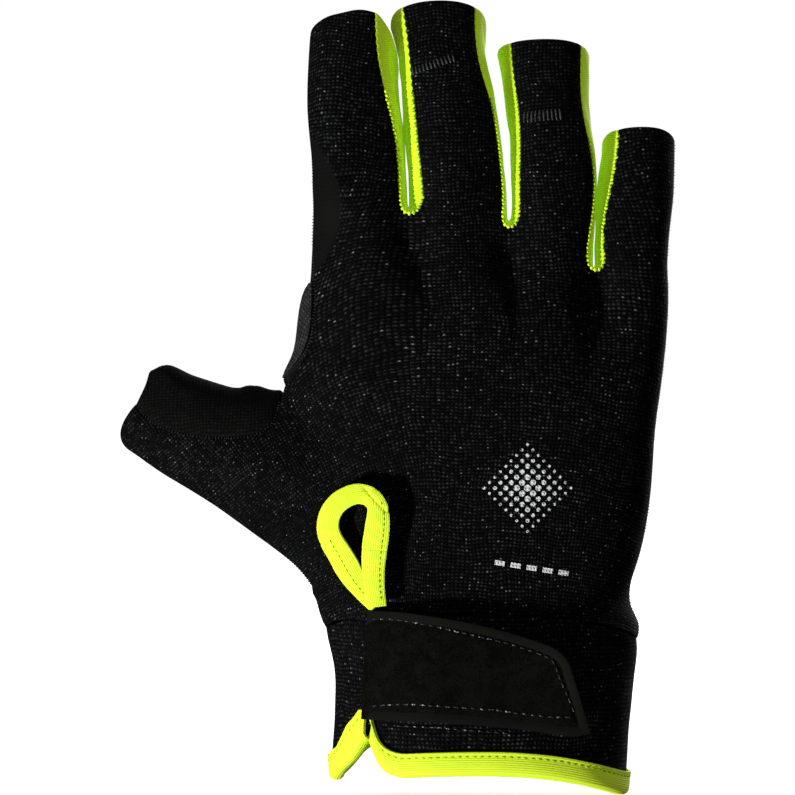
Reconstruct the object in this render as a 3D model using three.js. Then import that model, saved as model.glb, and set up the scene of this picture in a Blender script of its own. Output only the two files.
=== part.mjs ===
import * as THREE from 'three';

// Fingerless climbing glove for the right hand, filled as if worn.
// Millimetres. +Z runs to the fingertips, -Y out of the back of the hand, +X to the little finger.
// The origin is the middle of the wrist opening.

// Driving dimensions
const CROTCH_HEIGHT = 141; // wrist opening to the web between index and middle finger
const LITTLE_SETBACK = 15; // how far the web at the little finger lies below that
const INDEX_LENGTH = 49;
const MIDDLE_LENGTH = 53;
const RING_LENGTH = 51;
const LITTLE_LENGTH = 34.5;
const FINGER_WIDTH = 23.4;
const FINGER_DEPTH = 21;
const FINGER_GAP = 0.9;
const FINGER_CURL = 13; // how far a fingertip leans towards the palm
const HAND_DEPTH = 34;
const WRIST_SEAM = 32.5; // height of the seam between hand and cuff at the sides
const SEAM_ARCH = 7; // how much higher that seam runs on the back
const KNUCKLE_BLEND = 34; // length over which the finger roots melt into the back
const THUMB_WIDTH = 21.5;
const THUMB_DEPTH = 20;
const THUMB_REACH = 84; // from the middle of the wrist to the middle of the thumb's hem
const THUMB_RISE = 89.5;
const THUMB_CURL = 8;
const NOTCH_HEIGHT = 7.3;
const SLIT_GAPE = 0.5;
const KNIT_WALL = 1.6;
const SUEDE_WALL = 1.2;
const TAPE_WALL = 1.0;
const CUFF_WALL = 1.6;
const SEAM_GAP = 0.3;
const LAYER_GAP = 0.3;
const REST_REACH = 1.4; // how far round a place a piece feels for the back below it
const BINDING_WIDTH = 4.9;
const STRAP_WALL = 2;
const STRAP_LENGTH = 51;
const STRAP_WIDTH = 27;
const STRAP_TOP = 40.6; // height of the strap's upper edge at the slit
const STRAP_LIFT = 3.6; // how far the strap's tip stands off
const FASTENER_WALL = 1.2;
const FASTENER_LENGTH = 26;
const FASTENER_WIDTH = 14;
const LOOP_LENGTH = 30;
const LOOP_WIDTH = 17.25;
const LOOP_WALL = 1.4;
const LOOP_LIFT = 2.2;

// Shape numbers without a length: 2 is an ellipse, more is squarer, and a gather above 1 keeps a change
// back until late along its run
const FINGER_SQUARENESS = 2.15;
const HAND_SQUARENESS = 2.35;
const CURL_GATHER = 1.7;
const HEM_GATHER = 1.15;
const ARCH_GATHER = 1.4;
const LIFT_GATHER = 1.6;

// Widths are shares of FINGER_WIDTH, splay and bow too. A drop is a share of the finger's depth and says
// how much lower the hem runs there than on the back of the finger. A seam is the angle from the side at
// which the knit back ends at the hem.
const FINGERS = [
  { name: 'index', length: INDEX_LENGTH, root: 0.99, middle: 0.98, tip: 0.9, splay: -0.03, bow: -0.06,
    depth: 1.0, step: 0, dropLeft: 0.24, dropRight: 0.62, dropPalm: 0.46, seamLeft: 41, seamRight: 66 },
  { name: 'middle', length: MIDDLE_LENGTH, root: 1.0, middle: 0.95, tip: 1.0, splay: 0.02, bow: -0.03,
    depth: 1.0, step: 0, dropLeft: 0.27, dropRight: 0.27, dropPalm: 0.46, seamLeft: 47, seamRight: 44 },
  { name: 'ring', length: RING_LENGTH, root: 0.95, middle: 0.91, tip: 0.93, splay: 0.13, bow: -0.02,
    depth: 0.97, step: 0.2, dropLeft: 0.14, dropRight: 0.24, dropPalm: 0.42, seamLeft: 45, seamRight: 40 },
  { name: 'little', length: LITTLE_LENGTH, root: 0.79, middle: 0.75, tip: 0.74, splay: 0.12, bow: 0,
    depth: 0.82, step: 1, dropLeft: 0.14, dropRight: 0.22, dropPalm: 0.4, seamLeft: 56, seamRight: 41 },
];

// Outline of the hand and cuff from the wrist opening up. Heights are shares of CROTCH_HEIGHT, left and
// right of half the width over the finger roots, front and back of half HAND_DEPTH.
const SECTIONS = [
  { up: -0.05, left: 0.815, right: 0.80, front: 1.30, back: 1.34 },
  { up: 0.04, left: 0.835, right: 0.82, front: 1.29, back: 1.33 },
  { up: 0.11, left: 0.815, right: 0.845, front: 1.28, back: 1.30 },
  { up: 0.19, left: 0.803, right: 0.86, front: 1.27, back: 1.28 },
  { up: 0.225, left: 0.83, right: 0.875, front: 1.26, back: 1.27 },
  { up: 0.26, left: 0.93, right: 0.898, front: 1.24, back: 1.25 },
  { up: 0.30, left: 0.96, right: 0.805, front: 1.14, back: 1.18 },
  { up: 0.335, left: 0.995, right: 0.838, front: 1.09, back: 1.14 },
  { up: 0.385, left: 1.02, right: 0.90, front: 1.05, back: 1.14 },
  { up: 0.44, left: 1.04, right: 0.933, front: 1.03, back: 1.15 },
  { up: 0.51, left: 1.06, right: 0.96, front: 1.02, back: 1.14 },
  { up: 0.58, left: 1.08, right: 0.968, front: 1.01, back: 1.10 },
  { up: 0.645, left: 1.11, right: 0.99, front: 1.0, back: 1.05 },
  { up: 0.69, left: 1.125, right: 1.02, front: 0.99, back: 1.01 },
  { up: 0.73, left: 1.035, right: 1.02, front: 0.97, back: 0.99 },
  { up: 0.78, left: 1.03, right: 1.022, front: 0.95, back: 0.97 },
  { up: 0.84, left: 1.02, right: 1.03, front: 0.92, back: 0.95 },
  { up: 0.885, left: 0.955, right: 1.05, front: 0.87, back: 0.92 },
  { up: 1.0, left: 0.94, right: 1.06, front: 0.78, back: 0.84 },
];

// Rows of the hand from the finger roots (0) to the wrist seam (1). The seam on the index side turns to
// the back by `seam` degrees. Between the crotch of the thumb and its heel the side is open, and the
// two lips lie `lip` degrees to the back and `heel` degrees to the palm.
const HAND_ROWS = [
  { down: 0, seam: 8 },
  { down: 0.055, seam: 12 },
  { down: 0.115, seam: 14 },
  { down: 0.175, seam: 22 },
  { down: 0.24, seam: 28 },
  { down: 0.345, seam: 24 },
  { down: 0.40, seam: 0, crotch: true },
  { down: 0.465, lip: 18, heel: 20 },
  { down: 0.53, lip: 32, heel: 34 },
  { down: 0.595, lip: 42, heel: 44 },
  { down: 0.66, lip: 47, heel: 48 },
  { down: 0.725, lip: 44, heel: 46 },
  { down: 0.79, lip: 34, heel: 38 },
  { down: 0.85, lip: 19, heel: 22 },
  { down: 0.912, seam: 0, root: true },
  { down: 0.955, seam: 0 },
  { down: 1, seam: 0 },
];

// Stations along the thumb from its root (0) to its hem (1). The front seam runs at `seam` degrees
// round from the lower edge, `rise` lifts the upper edge by a share of THUMB_WIDTH.
const THUMB_ROWS = [
  { along: 0, seam: 180, rise: 0 },
  { along: 0.1, seam: 150, rise: 0 },
  { along: 0.22, seam: 120, rise: 0 },
  { along: 0.34, seam: 103, rise: 0.01 },
  { along: 0.46, seam: 92, rise: 0.02 },
  { along: 0.58, seam: 86, rise: 0.03 },
  { along: 0.7, seam: 83, rise: 0.06 },
  { along: 0.8, seam: 84, rise: 0.12 },
  { along: 0.91, seam: 90, rise: 0.13 },
  { along: 1, seam: 103, rise: 0 },
];

// Lower edge of the cuff. A dip is a share of CROTCH_HEIGHT, a run is in degrees beside the slit.
const CUFF_EDGE = { dipLeft: 0.022, dipRight: 0.045, runLeft: 42, runRight: 9 };

// Hem of the thumb, in shares of THUMB_WIDTH: the knit half stands out beyond the suede half, up to
// `knitEnd` degrees round from the lower edge. Its back swells by a share of THUMB_DEPTH.
const THUMB_HEM = { knitOut: 0.32, knitEnd: 115, knitGather: 0.9, suedeIn: 0.2, swell: 0.12 };

// Rounding of the thumb's root. Heights are shares of CROTCH_HEIGHT, the reach is one of THUMB_REACH.
const ROOT_ROUNDING = { turns: 4, weight: 0.6, centre: 0.45, reach: 0.5, fadeFrom: 0.57, fadeTo: 0.66 };

// Closing strap. Slants and drops are shares of STRAP_WIDTH, the rest of STRAP_LENGTH. `rest` is the
// height, as a share of CROTCH_HEIGHT, at which it bears on the wrist.
const STRAP_SHAPE = { start: -0.01, run: 0.96, tipSlant: 0.1, headSlant: 0.05, topDrop: 0.37, lowDrop: 0.16,
  cornerFrom: 0.94, cornerDrop: 0.06, restFrom: 0.1, restTo: 0.3, liftFrom: 0.72, rest: 0.19 };

const CUFF_ROWS = [0, 0.25, 0.5, 0.75, 1];
const FINGER_ROWS = [0, 0.12, 0.26, 0.41, 0.56, 0.71, 0.86, 1];

// Dents and swellings of the back. Places are shares of half the hand's width and of CROTCH_HEIGHT,
// sizes are shares of HAND_DEPTH, and a negative depth is a swelling.
const DENTS = [
  { across: -0.90, up: 0.965, wide: 0.2, tall: 0.45, deep: 0.085 },
  { across: -0.66, up: 0.86, wide: 0.32, tall: 0.3, deep: -0.03 },
  { across: 0.0, up: 0.84, wide: 0.3, tall: 0.3, deep: -0.02 },
  { across: 0.45, up: 0.80, wide: 0.3, tall: 0.3, deep: -0.02 },
];

const BLACK_KNIT = '#121214';
const BLACK_SUEDE = '#1c1b19';
const GRIP_SUEDE = '#4a4a4a';
const LIME = '#c9f21c';

const degrees = THREE.MathUtils.degToRad;
const lerp = THREE.MathUtils.lerp;
const smoothstep = THREE.MathUtils.smoothstep;

function bend(start, middle, end, share) {
  const bump = 4 * share * (1 - share);
  return lerp(start, end, share) + bump * (middle - (start + end) / 2);
}

function squared(value, squareness) {
  return Math.sign(value) * Math.abs(value) ** (2 / squareness);
}

// Row of a table at a value of its first column, with the other columns interpolated
function rowAt(table, column, value) {
  let upper = table.findIndex((row) => row[column] >= value);
  if (upper < 0) upper = table.length - 1;
  if (upper === 0) upper = 1;
  const low = table[upper - 1];
  const high = table[upper];
  const share = THREE.MathUtils.clamp((value - low[column]) / (high[column] - low[column]), 0, 1);
  return Object.fromEntries(Object.keys(low).map((name) => [name, lerp(low[name], high[name], share)]));
}

// Places of the finger tubes, side by side at the roots and splayed at the tips
function layFingers() {
  const rootSum = FINGERS.reduce((sum, finger) => sum + finger.root * FINGER_WIDTH, 0);
  const span = rootSum + FINGER_GAP * (FINGERS.length - 1);
  const leftRoot = -0.47 * span;
  let rootEdge = leftRoot;
  let tipEdge = leftRoot;
  for (const finger of FINGERS) {
    const rootWidth = finger.root * FINGER_WIDTH;
    const tipWidth = finger.tip * FINGER_WIDTH;
    tipEdge += finger.splay * FINGER_WIDTH;
    finger.rootCentre = rootEdge + rootWidth / 2;
    finger.tipCentre = tipEdge + tipWidth / 2;
    rootEdge += rootWidth + FINGER_GAP;
    tipEdge += tipWidth;
  }
  return { span, left: leftRoot, right: leftRoot + span };
}

const KNUCKLES = layFingers();
const HALF_SPAN = KNUCKLES.span / 2;

function webHeight(finger) {
  return CROTCH_HEIGHT - FINGERS[finger].step * LITTLE_SETBACK;
}

// Sixteen angles round a finger: its back, the side to the little finger, its palm side, the other side
const SIDE_ANGLE = 41;
const SIDE_STEPS = 4;
const LAST_FINGER = FINGERS.length - 1;
const FINGER_ANGLES = [];
for (const [start, end] of [[180 - SIDE_ANGLE, SIDE_ANGLE], [SIDE_ANGLE, -SIDE_ANGLE],
  [-SIDE_ANGLE, SIDE_ANGLE - 180], [SIDE_ANGLE - 180, -180 - SIDE_ANGLE]]) {
  for (let step = 0; step < SIDE_STEPS; step++) FINGER_ANGLES.push(lerp(start, end, step / SIDE_STEPS));
}
const RING = FINGER_ANGLES.length;
const RIGHT_SIDE = SIDE_STEPS;
const LEFT_SIDE = 3 * SIDE_STEPS;
const RIGHT_MIDDLE = 1.5 * SIDE_STEPS; // step of the little finger's outer seam
const LEFT_MIDDLE = 3.5 * SIDE_STEPS; // step of the index finger's outer seam
const SLIT_STEP = 2; // step of the index finger that the cuff's slit lies below

function rootHeight(finger, angle) {
  const left = webHeight(finger);
  const right = finger < LAST_FINGER ? webHeight(finger + 1) : left;
  const start = finger === 0 ? right : left;
  return lerp(start, right, (1 + Math.cos(degrees(angle))) / 2);
}

function hemHeight(finger, angle) {
  const row = FINGERS[finger];
  const sine = Math.sin(degrees(angle));
  const side = Math.cos(degrees(angle)) < 0 ? row.dropLeft : row.dropRight;
  const drop = sine >= 0 ? side * (1 - sine) ** HEM_GATHER : lerp(side, Math.max(row.dropPalm, side), -sine);
  return rootHeight(finger, 90) + row.length - drop * row.depth * FINGER_DEPTH;
}

function fingerPoint(finger, angle, height) {
  const row = FINGERS[finger];
  const share = THREE.MathUtils.clamp((height - rootHeight(finger, 90)) / row.length, 0, 1);
  const centre = bend(row.rootCentre, (row.rootCentre + row.tipCentre) / 2 + row.bow * FINGER_WIDTH,
    row.tipCentre, share);
  const width = FINGER_WIDTH * bend(row.root, row.middle, row.tip, share);
  const depth = FINGER_DEPTH * row.depth;
  const lean = FINGER_CURL * (row.length / MIDDLE_LENGTH) * share ** CURL_GATHER;
  const across = squared(Math.cos(degrees(angle)), FINGER_SQUARENESS);
  const out = squared(Math.sin(degrees(angle)), FINGER_SQUARENESS);
  return new THREE.Vector3(centre + (width / 2) * across, lean - (depth / 2) * out, height);
}

function section(height) {
  return rowAt(SECTIONS, 'up', height / CROTCH_HEIGHT);
}

// Point of the hand or cuff at an angle: 180 at the thumb side, 90 on the back, 0 at the little finger
function handPoint(angle, height) {
  const row = section(height);
  const middle = (row.right - row.left) / 2 * HALF_SPAN;
  const half = (row.right + row.left) / 2 * HALF_SPAN;
  const sine = squared(Math.sin(degrees(angle)), HAND_SQUARENESS);
  const depth = (sine >= 0 ? row.front : row.back) * HAND_DEPTH / 2;
  return new THREE.Vector3(middle + half * squared(Math.cos(degrees(angle)), HAND_SQUARENESS),
    -depth * sine, height);
}

// The glove's skin: shared points under names, and faces that belong to panels
const points = new Map();
const faces = [];

function put(name, point) {
  if (!points.has(name)) points.set(name, point);
  return name;
}

function addFace(panel, ...names) {
  faces.push({ panel, names });
}

// Columns round the hand, in the order thumb side, back, little finger side, palm
function handColumns() {
  const columns = [];
  for (let finger = 0; finger <= LAST_FINGER; finger++) {
    const start = finger === 0 ? LEFT_MIDDLE - RING : 0;
    const end = finger === LAST_FINGER ? RIGHT_MIDDLE : RIGHT_SIDE;
    for (let step = start; step <= end; step++) columns.push({ finger, step: (step + RING) % RING });
    if (finger < LAST_FINGER) columns.push({ web: finger, row: 0 });
  }
  for (let finger = LAST_FINGER; finger >= 0; finger--) {
    const start = finger === LAST_FINGER ? RIGHT_MIDDLE + 1 : 2 * SIDE_STEPS;
    const end = finger === 0 ? LEFT_MIDDLE - 1 : LEFT_SIDE;
    for (let step = start; step <= end; step++) columns.push({ finger, step });
    if (finger > 0) columns.push({ web: finger - 1, row: SIDE_STEPS });
  }
  return columns;
}

const COLUMNS = handColumns();

function columnOf(finger, step) {
  return COLUMNS.findIndex((column) => column.finger === finger && column.step === step);
}

const RIGHT_COLUMN = columnOf(LAST_FINGER, RIGHT_MIDDLE);
const SLIT_COLUMN = columnOf(0, SLIT_STEP);

const SEAM_OPENS = 0.25; // share of the finger's length from which the seams open
const INDEX_TURN = { to: -8, over: 0.7 }; // in degrees, and in shares of FINGER_WIDTH

// Angle of a finger's column. The seams of the back open towards the hem, and the index finger's outer
// seam turns on from the hand's.
function fingerAngle(finger, step, height) {
  const row = FINGERS[finger];
  const open = smoothstep((height - rootHeight(finger, 90)) / row.length, SEAM_OPENS, 1);
  const right = lerp(SIDE_ANGLE, row.seamRight, open);
  const left = 180 - lerp(SIDE_ANGLE, row.seamLeft, open);
  const share = (step % SIDE_STEPS) / SIDE_STEPS;
  if (step < SIDE_STEPS) return lerp(left, right, share);
  if (step < 2 * SIDE_STEPS) return lerp(right, -SIDE_ANGLE, share);
  if (step < LEFT_SIDE) return FINGER_ANGLES[step];
  const angle = lerp(SIDE_ANGLE - 180, left - 360, share);
  if (finger > 0 || Math.abs(step - LEFT_MIDDLE) > 1) return angle;
  const turned = smoothstep(height - CROTCH_HEIGHT, 0, INDEX_TURN.over * FINGER_WIDTH);
  return angle - lerp(HAND_ROWS[0].seam, INDEX_TURN.to, turned);
}

const WEB_SAG = 0.3; // how deep the web hangs, as a share of the width between the fingers
const WEB_FLATTEN = 0.82; // how much nearer to the hand's middle the web lies than the roots beside it

function webPoint(web, row) {
  const near = FINGER_ANGLES[RIGHT_SIDE + row];
  const far = FINGER_ANGLES[(RING - row) % RING];
  const left = fingerPoint(web, near, rootHeight(web, near));
  const right = fingerPoint(web + 1, far, rootHeight(web + 1, far));
  const middle = left.clone().lerp(right, 0.5);
  middle.z -= WEB_SAG * left.distanceTo(right) + SEAM_GAP;
  return middle;
}

function rootPoint(column) {
  if (column.web !== undefined) return webPoint(column.web, column.row);
  const angle = FINGER_ANGLES[column.step];
  const height = rootHeight(column.finger, angle);
  return fingerPoint(column.finger, fingerAngle(column.finger, column.step, height), height);
}

// The finger roots carried straight down, which the hand blends into
function rootShaft(column, height) {
  if (column.web === undefined) {
    return fingerPoint(column.finger, fingerAngle(column.finger, column.step, 0), height);
  }
  const point = rootPoint(column);
  return new THREE.Vector3(point.x, point.y * WEB_FLATTEN, height);
}

function seamHeight(angle) {
  return WRIST_SEAM + SEAM_ARCH * Math.max(0, Math.sin(degrees(angle))) ** ARCH_GATHER;
}

// Angle of a hand column where nothing turns it
function plainAngle(index) {
  const root = rootPoint(COLUMNS[index]);
  if (index === 0) return 180;
  if (index === RIGHT_COLUMN) return 0;
  const share = THREE.MathUtils.clamp((root.x - KNUCKLES.left) / KNUCKLES.span * 2 - 1, -1, 1);
  const cosine = Math.sign(share) * Math.abs(share) ** (HAND_SQUARENESS / 2);
  const angle = THREE.MathUtils.radToDeg(Math.acos(cosine));
  return index < RIGHT_COLUMN ? angle : -angle;
}

const PLAIN_ANGLES = COLUMNS.map((column, index) => plainAngle(index));

// Angle of a column in a row whose thumb-side end is turned by some degrees to the back or the palm
function turnedAngle(index, toBack, toPalm) {
  const angle = PLAIN_ANGLES[index];
  if (index <= RIGHT_COLUMN) return angle - toBack * (1 - index / RIGHT_COLUMN) ** 2;
  const share = (COLUMNS.length - index) / (COLUMNS.length - RIGHT_COLUMN);
  return angle + toPalm * (1 - share) ** 2;
}

function handRowPoint(index, row, angle) {
  const column = COLUMNS[index];
  const root = rootPoint(column);
  const height = lerp(root.z, seamHeight(angle), row.down);
  const share = smoothstep(root.z - height, 0, KNUCKLE_BLEND);
  const point = rootShaft(column, height).lerp(handPoint(angle, height), share);
  for (const dent of DENTS) {
    const across = (point.x / HALF_SPAN - dent.across) / (dent.wide * HAND_DEPTH / HALF_SPAN);
    const up = (height - dent.up * CROTCH_HEIGHT) / (dent.tall * HAND_DEPTH);
    if (angle > 0 && row.down > 0) {
      point.y += dent.deep * HAND_DEPTH * Math.exp(-(across ** 2) - up ** 2);
    }
  }
  return point;
}

const CROTCH_ROW = HAND_ROWS.findIndex((row) => row.crotch);
const ROOT_ROW = HAND_ROWS.findIndex((row) => row.root);

function isOpen(row) {
  return row > CROTCH_ROW && row < ROOT_ROW;
}

// Name of a hand point, where the open thumb side has a back lip and a palm lip
function handName(index, row, palm = false) {
  const place = index % COLUMNS.length;
  return place === 0 && isOpen(row) && palm ? `palm lip ${row}` : `hand ${place} ${row}`;
}

// Faces of the palm that the grip patch covers. Above the crotch of the thumb it reaches round to the
// back's seam, below it stops short of the thumb.
const PATCH_TOP = 3;
const PATCH_FOOT = 8;
const PATCH_START = RIGHT_COLUMN + 7; // column at the little finger side
const PATCH_STOP = 3; // columns left free beside the thumb
const patchFaces = [];

function isPatched(index, row) {
  const end = COLUMNS.length - (row >= CROTCH_ROW ? PATCH_STOP : 0);
  return row >= PATCH_TOP && row <= PATCH_FOOT && index >= PATCH_START && index < end;
}

function buildHand() {
  HAND_ROWS.forEach((row, number) => {
    const toBack = isOpen(number) ? row.lip : row.seam;
    const toPalm = isOpen(number) ? row.heel : -row.seam;
    COLUMNS.forEach((column, index) => {
      const point = number === 0 ? rootPoint(column)
        : handRowPoint(index, row, turnedAngle(index, toBack, toPalm));
      put(handName(index, number), point);
    });
    if (isOpen(number)) put(handName(0, number, true), handRowPoint(0, row, -180 + toPalm));
  });
  for (let row = 0; row < HAND_ROWS.length - 1; row++) {
    COLUMNS.forEach((column, index) => {
      const palm = index >= RIGHT_COLUMN;
      const names = [handName(index, row, palm), handName(index, row + 1, palm),
        handName(index + 1, row + 1, palm), handName(index + 1, row, palm)];
      addFace(palm ? 'palm_panel' : 'back_panel', ...names);
      if (isPatched(index, row)) patchFaces.push(names);
    });
  }
}

function fingerName(finger, step, row) {
  const place = (step + RING) % RING;
  const index = columnOf(finger, place);
  if (row === 0 && index >= 0) return handName(index, 0);
  return `finger ${finger} ${place} ${row}`;
}

function fingerPanel(finger, step) {
  if (step < SIDE_STEPS) return 'back_panel';
  if (step >= 2 * SIDE_STEPS && step < LEFT_SIDE) return 'palm_panel';
  if (step < 2 * SIDE_STEPS) {
    if (finger < LAST_FINGER) return `fourchette_${FINGERS[finger].name}_${FINGERS[finger + 1].name}`;
    return step < RIGHT_MIDDLE ? 'back_panel' : 'palm_panel';
  }
  if (finger > 0) return `fourchette_${FINGERS[finger - 1].name}_${FINGERS[finger].name}`;
  return step < LEFT_MIDDLE ? 'palm_panel' : 'back_panel';
}

function buildFinger(finger) {
  FINGER_ROWS.forEach((share, row) => {
    for (let step = 0; step < RING; step++) {
      const plain = FINGER_ANGLES[step];
      const height = lerp(rootHeight(finger, plain), hemHeight(finger, plain), share);
      put(fingerName(finger, step, row), fingerPoint(finger, fingerAngle(finger, step, height), height));
    }
  });
  for (let row = 0; row < FINGER_ROWS.length - 1; row++) {
    for (let step = 0; step < RING; step++) {
      addFace(fingerPanel(finger, step), fingerName(finger, step, row + 1), fingerName(finger, step, row),
        fingerName(finger, step + 1, row), fingerName(finger, step + 1, row + 1));
    }
  }
}

// The bottom of the lime wall between two fingers
function buildWeb(web) {
  const panel = `fourchette_${FINGERS[web].name}_${FINGERS[web + 1].name}`;
  const names = [];
  for (let row = 0; row <= SIDE_STEPS; row++) {
    const index = COLUMNS.findIndex((column) => column.web === web && column.row === row);
    const middle = index >= 0 ? handName(index, 0) : put(`web ${web} ${row}`, webPoint(web, row));
    names.push([fingerName(web, RIGHT_SIDE + row, 0), middle, fingerName(web + 1, RING - row, 0)]);
  }
  for (let row = 0; row < SIDE_STEPS; row++) {
    for (const side of [0, 1]) {
      addFace(panel, names[row][side], names[row][side + 1], names[row + 1][side + 1], names[row + 1][side]);
    }
  }
}

// Root loop of the thumb: from its heel over the back lip to the crotch and back over the palm lip
const THUMB_SIDE = ROOT_ROW - CROTCH_ROW;

function thumbRootName(step) {
  if (step <= THUMB_SIDE) return handName(0, ROOT_ROW - step);
  return handName(0, CROTCH_ROW + step - THUMB_SIDE, true);
}

function thumbPoint(angle, along, rise) {
  const step = angle / 180 * THUMB_SIDE;
  const below = Math.min(Math.floor(step), 2 * THUMB_SIDE - 1);
  const root = points.get(thumbRootName(below)).clone()
    .lerp(points.get(thumbRootName(below + 1)), step - below);
  const sine = Math.sin(degrees(angle));
  const cosine = Math.cos(degrees(angle));
  const knitShare = Math.sin(Math.PI * Math.min(1, angle / THUMB_HEM.knitEnd)) ** THUMB_HEM.knitGather;
  const out = THUMB_HEM.knitOut * knitShare + THUMB_HEM.suedeIn * Math.min(0, sine);
  const hem = new THREE.Vector3(-THUMB_REACH - THUMB_WIDTH * out,
    THUMB_CURL - THUMB_DEPTH / 2 * sine, THUMB_RISE - THUMB_WIDTH / 2 * cosine);
  const point = root.lerp(hem, along);
  point.y -= THUMB_HEM.swell * THUMB_DEPTH * sine * Math.sin(Math.PI * along);
  point.z += rise * THUMB_WIDTH * Math.max(0, -cosine);
  return point;
}

function thumbName(part, step, row) {
  if (row === 0) return thumbRootName(part === 'back' ? step : THUMB_SIDE + step);
  if (part === 'palm' && step === 0) return thumbName('back', THUMB_SIDE, row);
  if (part === 'palm' && step === THUMB_SIDE) return thumbName('back', 0, row);
  return `thumb ${part} ${step} ${row}`;
}

function buildThumb() {
  THUMB_ROWS.forEach((row, number) => {
    for (let step = 0; step <= THUMB_SIDE; step++) {
      const share = step / THUMB_SIDE;
      put(thumbName('back', step, number), thumbPoint(row.seam * share, row.along, row.rise));
      put(thumbName('palm', step, number), thumbPoint(lerp(row.seam, 360, share), row.along, row.rise));
    }
  });
  for (const [part, panel] of [['back', 'back_panel'], ['palm', 'thumb_gusset']]) {
    for (let row = 0; row < THUMB_ROWS.length - 1; row++) {
      for (let step = 0; step < THUMB_SIDE; step++) {
        addFace(panel, thumbName(part, step, row), thumbName(part, step + 1, row),
          thumbName(part, step + 1, row + 1), thumbName(part, step, row + 1));
      }
    }
  }
}

// Height of the cuff's lower edge: lowest at the sides, up to the notch at the slit
function edgeHeight(angle, slitAngle) {
  const cosine = Math.cos(degrees(angle));
  const dip = cosine > 0 ? CUFF_EDGE.dipRight : CUFF_EDGE.dipLeft;
  const level = TAPE_WALL + LAYER_GAP - dip * CROTCH_HEIGHT * cosine ** 2;
  const beside = angle - slitAngle;
  const run = beside > 0 ? CUFF_EDGE.runLeft : CUFF_EDGE.runRight;
  const notch = angle < 0 || beside < -run || beside > run ? 0 : 1 - Math.abs(beside) / run;
  return level + NOTCH_HEIGHT * notch;
}

const SLIT_ANGLE = PLAIN_ANGLES[SLIT_COLUMN];
const SLIT_ACROSS = handPoint(SLIT_ANGLE, 0.1 * CROTCH_HEIGHT).x;

// Angle of a cuff column: the one right of the slit stands close to it, to round the notch
function cuffAngle(index) {
  const angle = PLAIN_ANGLES[index];
  return index === SLIT_COLUMN + 1 ? lerp(angle, SLIT_ANGLE, 0.3) : angle;
}

function cuffName(index, row, right = false) {
  const place = index % COLUMNS.length;
  if (place === SLIT_COLUMN && right) return `slit ${row}`;
  return row === 0 ? handName(place, HAND_ROWS.length - 1) : `cuff ${place} ${row}`;
}

function cuffPoint(index, row, gape) {
  const angle = cuffAngle(index);
  const edge = edgeHeight(angle, SLIT_ANGLE);
  const tapeTop = edge + 1.1 * BINDING_WIDTH;
  const height = row === CUFF_ROWS.length ? edge
    : lerp(seamHeight(angle), tapeTop, CUFF_ROWS[row]);
  const point = handPoint(angle, height);
  point.x += gape * row / CUFF_ROWS.length;
  return point;
}

function buildCuff() {
  for (let row = 1; row <= CUFF_ROWS.length; row++) {
    COLUMNS.forEach((column, index) => {
      const gape = index === SLIT_COLUMN ? -SLIT_GAPE : 0;
      put(cuffName(index, row), cuffPoint(index, row, gape));
    });
    put(cuffName(SLIT_COLUMN, row, true), cuffPoint(SLIT_COLUMN, row, SLIT_GAPE));
  }
  for (let row = 0; row < CUFF_ROWS.length; row++) {
    COLUMNS.forEach((column, index) => {
      const right = index === SLIT_COLUMN;
      addFace('cuff', cuffName(index, row, right), cuffName(index, row + 1, right),
        cuffName(index + 1, row + 1), cuffName(index + 1, row));
    });
  }
}

// Rounds the skin round the thumb's root, where the back runs on into the thumb. The ridge from the
// crotch along the thumb keeps its height.
function relaxThumbRoot() {
  const { turns, weight, centre, reach, fadeFrom, fadeTo } = ROOT_ROUNDING;
  const middle = new THREE.Vector3(-HALF_SPAN, 0, centre * CROTCH_HEIGHT);
  const radius = reach * THUMB_REACH;
  const ends = new Set(THUMB_ROWS.flatMap((row, number) => (number < THUMB_ROWS.length - 2 ? []
    : [...points.keys()].filter((name) => name.startsWith('thumb') && name.endsWith(` ${number}`)))));
  const neighbours = new Map();
  for (const { panel, names } of faces) {
    if (panel === 'cuff') continue;
    names.forEach((name, corner) => {
      if (!neighbours.has(name)) neighbours.set(name, new Set());
      neighbours.get(name).add(names[(corner + 1) % names.length]);
      neighbours.get(name).add(names[(corner + names.length - 1) % names.length]);
    });
  }
  for (let turn = 0; turn < turns; turn++) {
    const moved = new Map();
    for (const [name, near] of neighbours) {
      const point = points.get(name);
      const below = 1 - smoothstep(point.z, fadeFrom * CROTCH_HEIGHT, fadeTo * CROTCH_HEIGHT);
      const share = weight * below * (1 - smoothstep(point.distanceTo(middle), 0.6 * radius, radius));
      if (share <= 0 || ends.has(name)) continue;
      const mean = new THREE.Vector3();
      for (const other of near) mean.add(points.get(other));
      moved.set(name, point.clone().lerp(mean.divideScalar(near.size), share));
    }
    for (const [name, point] of moved) points.set(name, point);
  }
}

function faceNormal(names, place) {
  const corners = names.map((name) => place.get(name));
  const normal = new THREE.Vector3();
  corners.forEach((corner, number) => {
    normal.add(corner.clone().cross(corners[(number + 1) % corners.length]));
  });
  return normal;
}

function pointNormals(list, place) {
  const normals = new Map();
  for (const names of list) {
    const normal = faceNormal(names, place);
    for (const name of names) {
      if (!normals.has(name)) normals.set(name, new THREE.Vector3());
      normals.get(name).add(normal);
    }
  }
  for (const normal of normals.values()) normal.normalize();
  return normals;
}

// Edges that only one face of a piece has, in that face's direction
function openEdges(list) {
  const edges = new Map();
  for (const names of list) {
    names.forEach((name, corner) => {
      const next = names[(corner + 1) % names.length];
      edges.set(`${name}>${next}`, [name, next]);
    });
  }
  return [...edges.values()].filter(([start, end]) => !edges.has(`${end}>${start}`));
}

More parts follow.
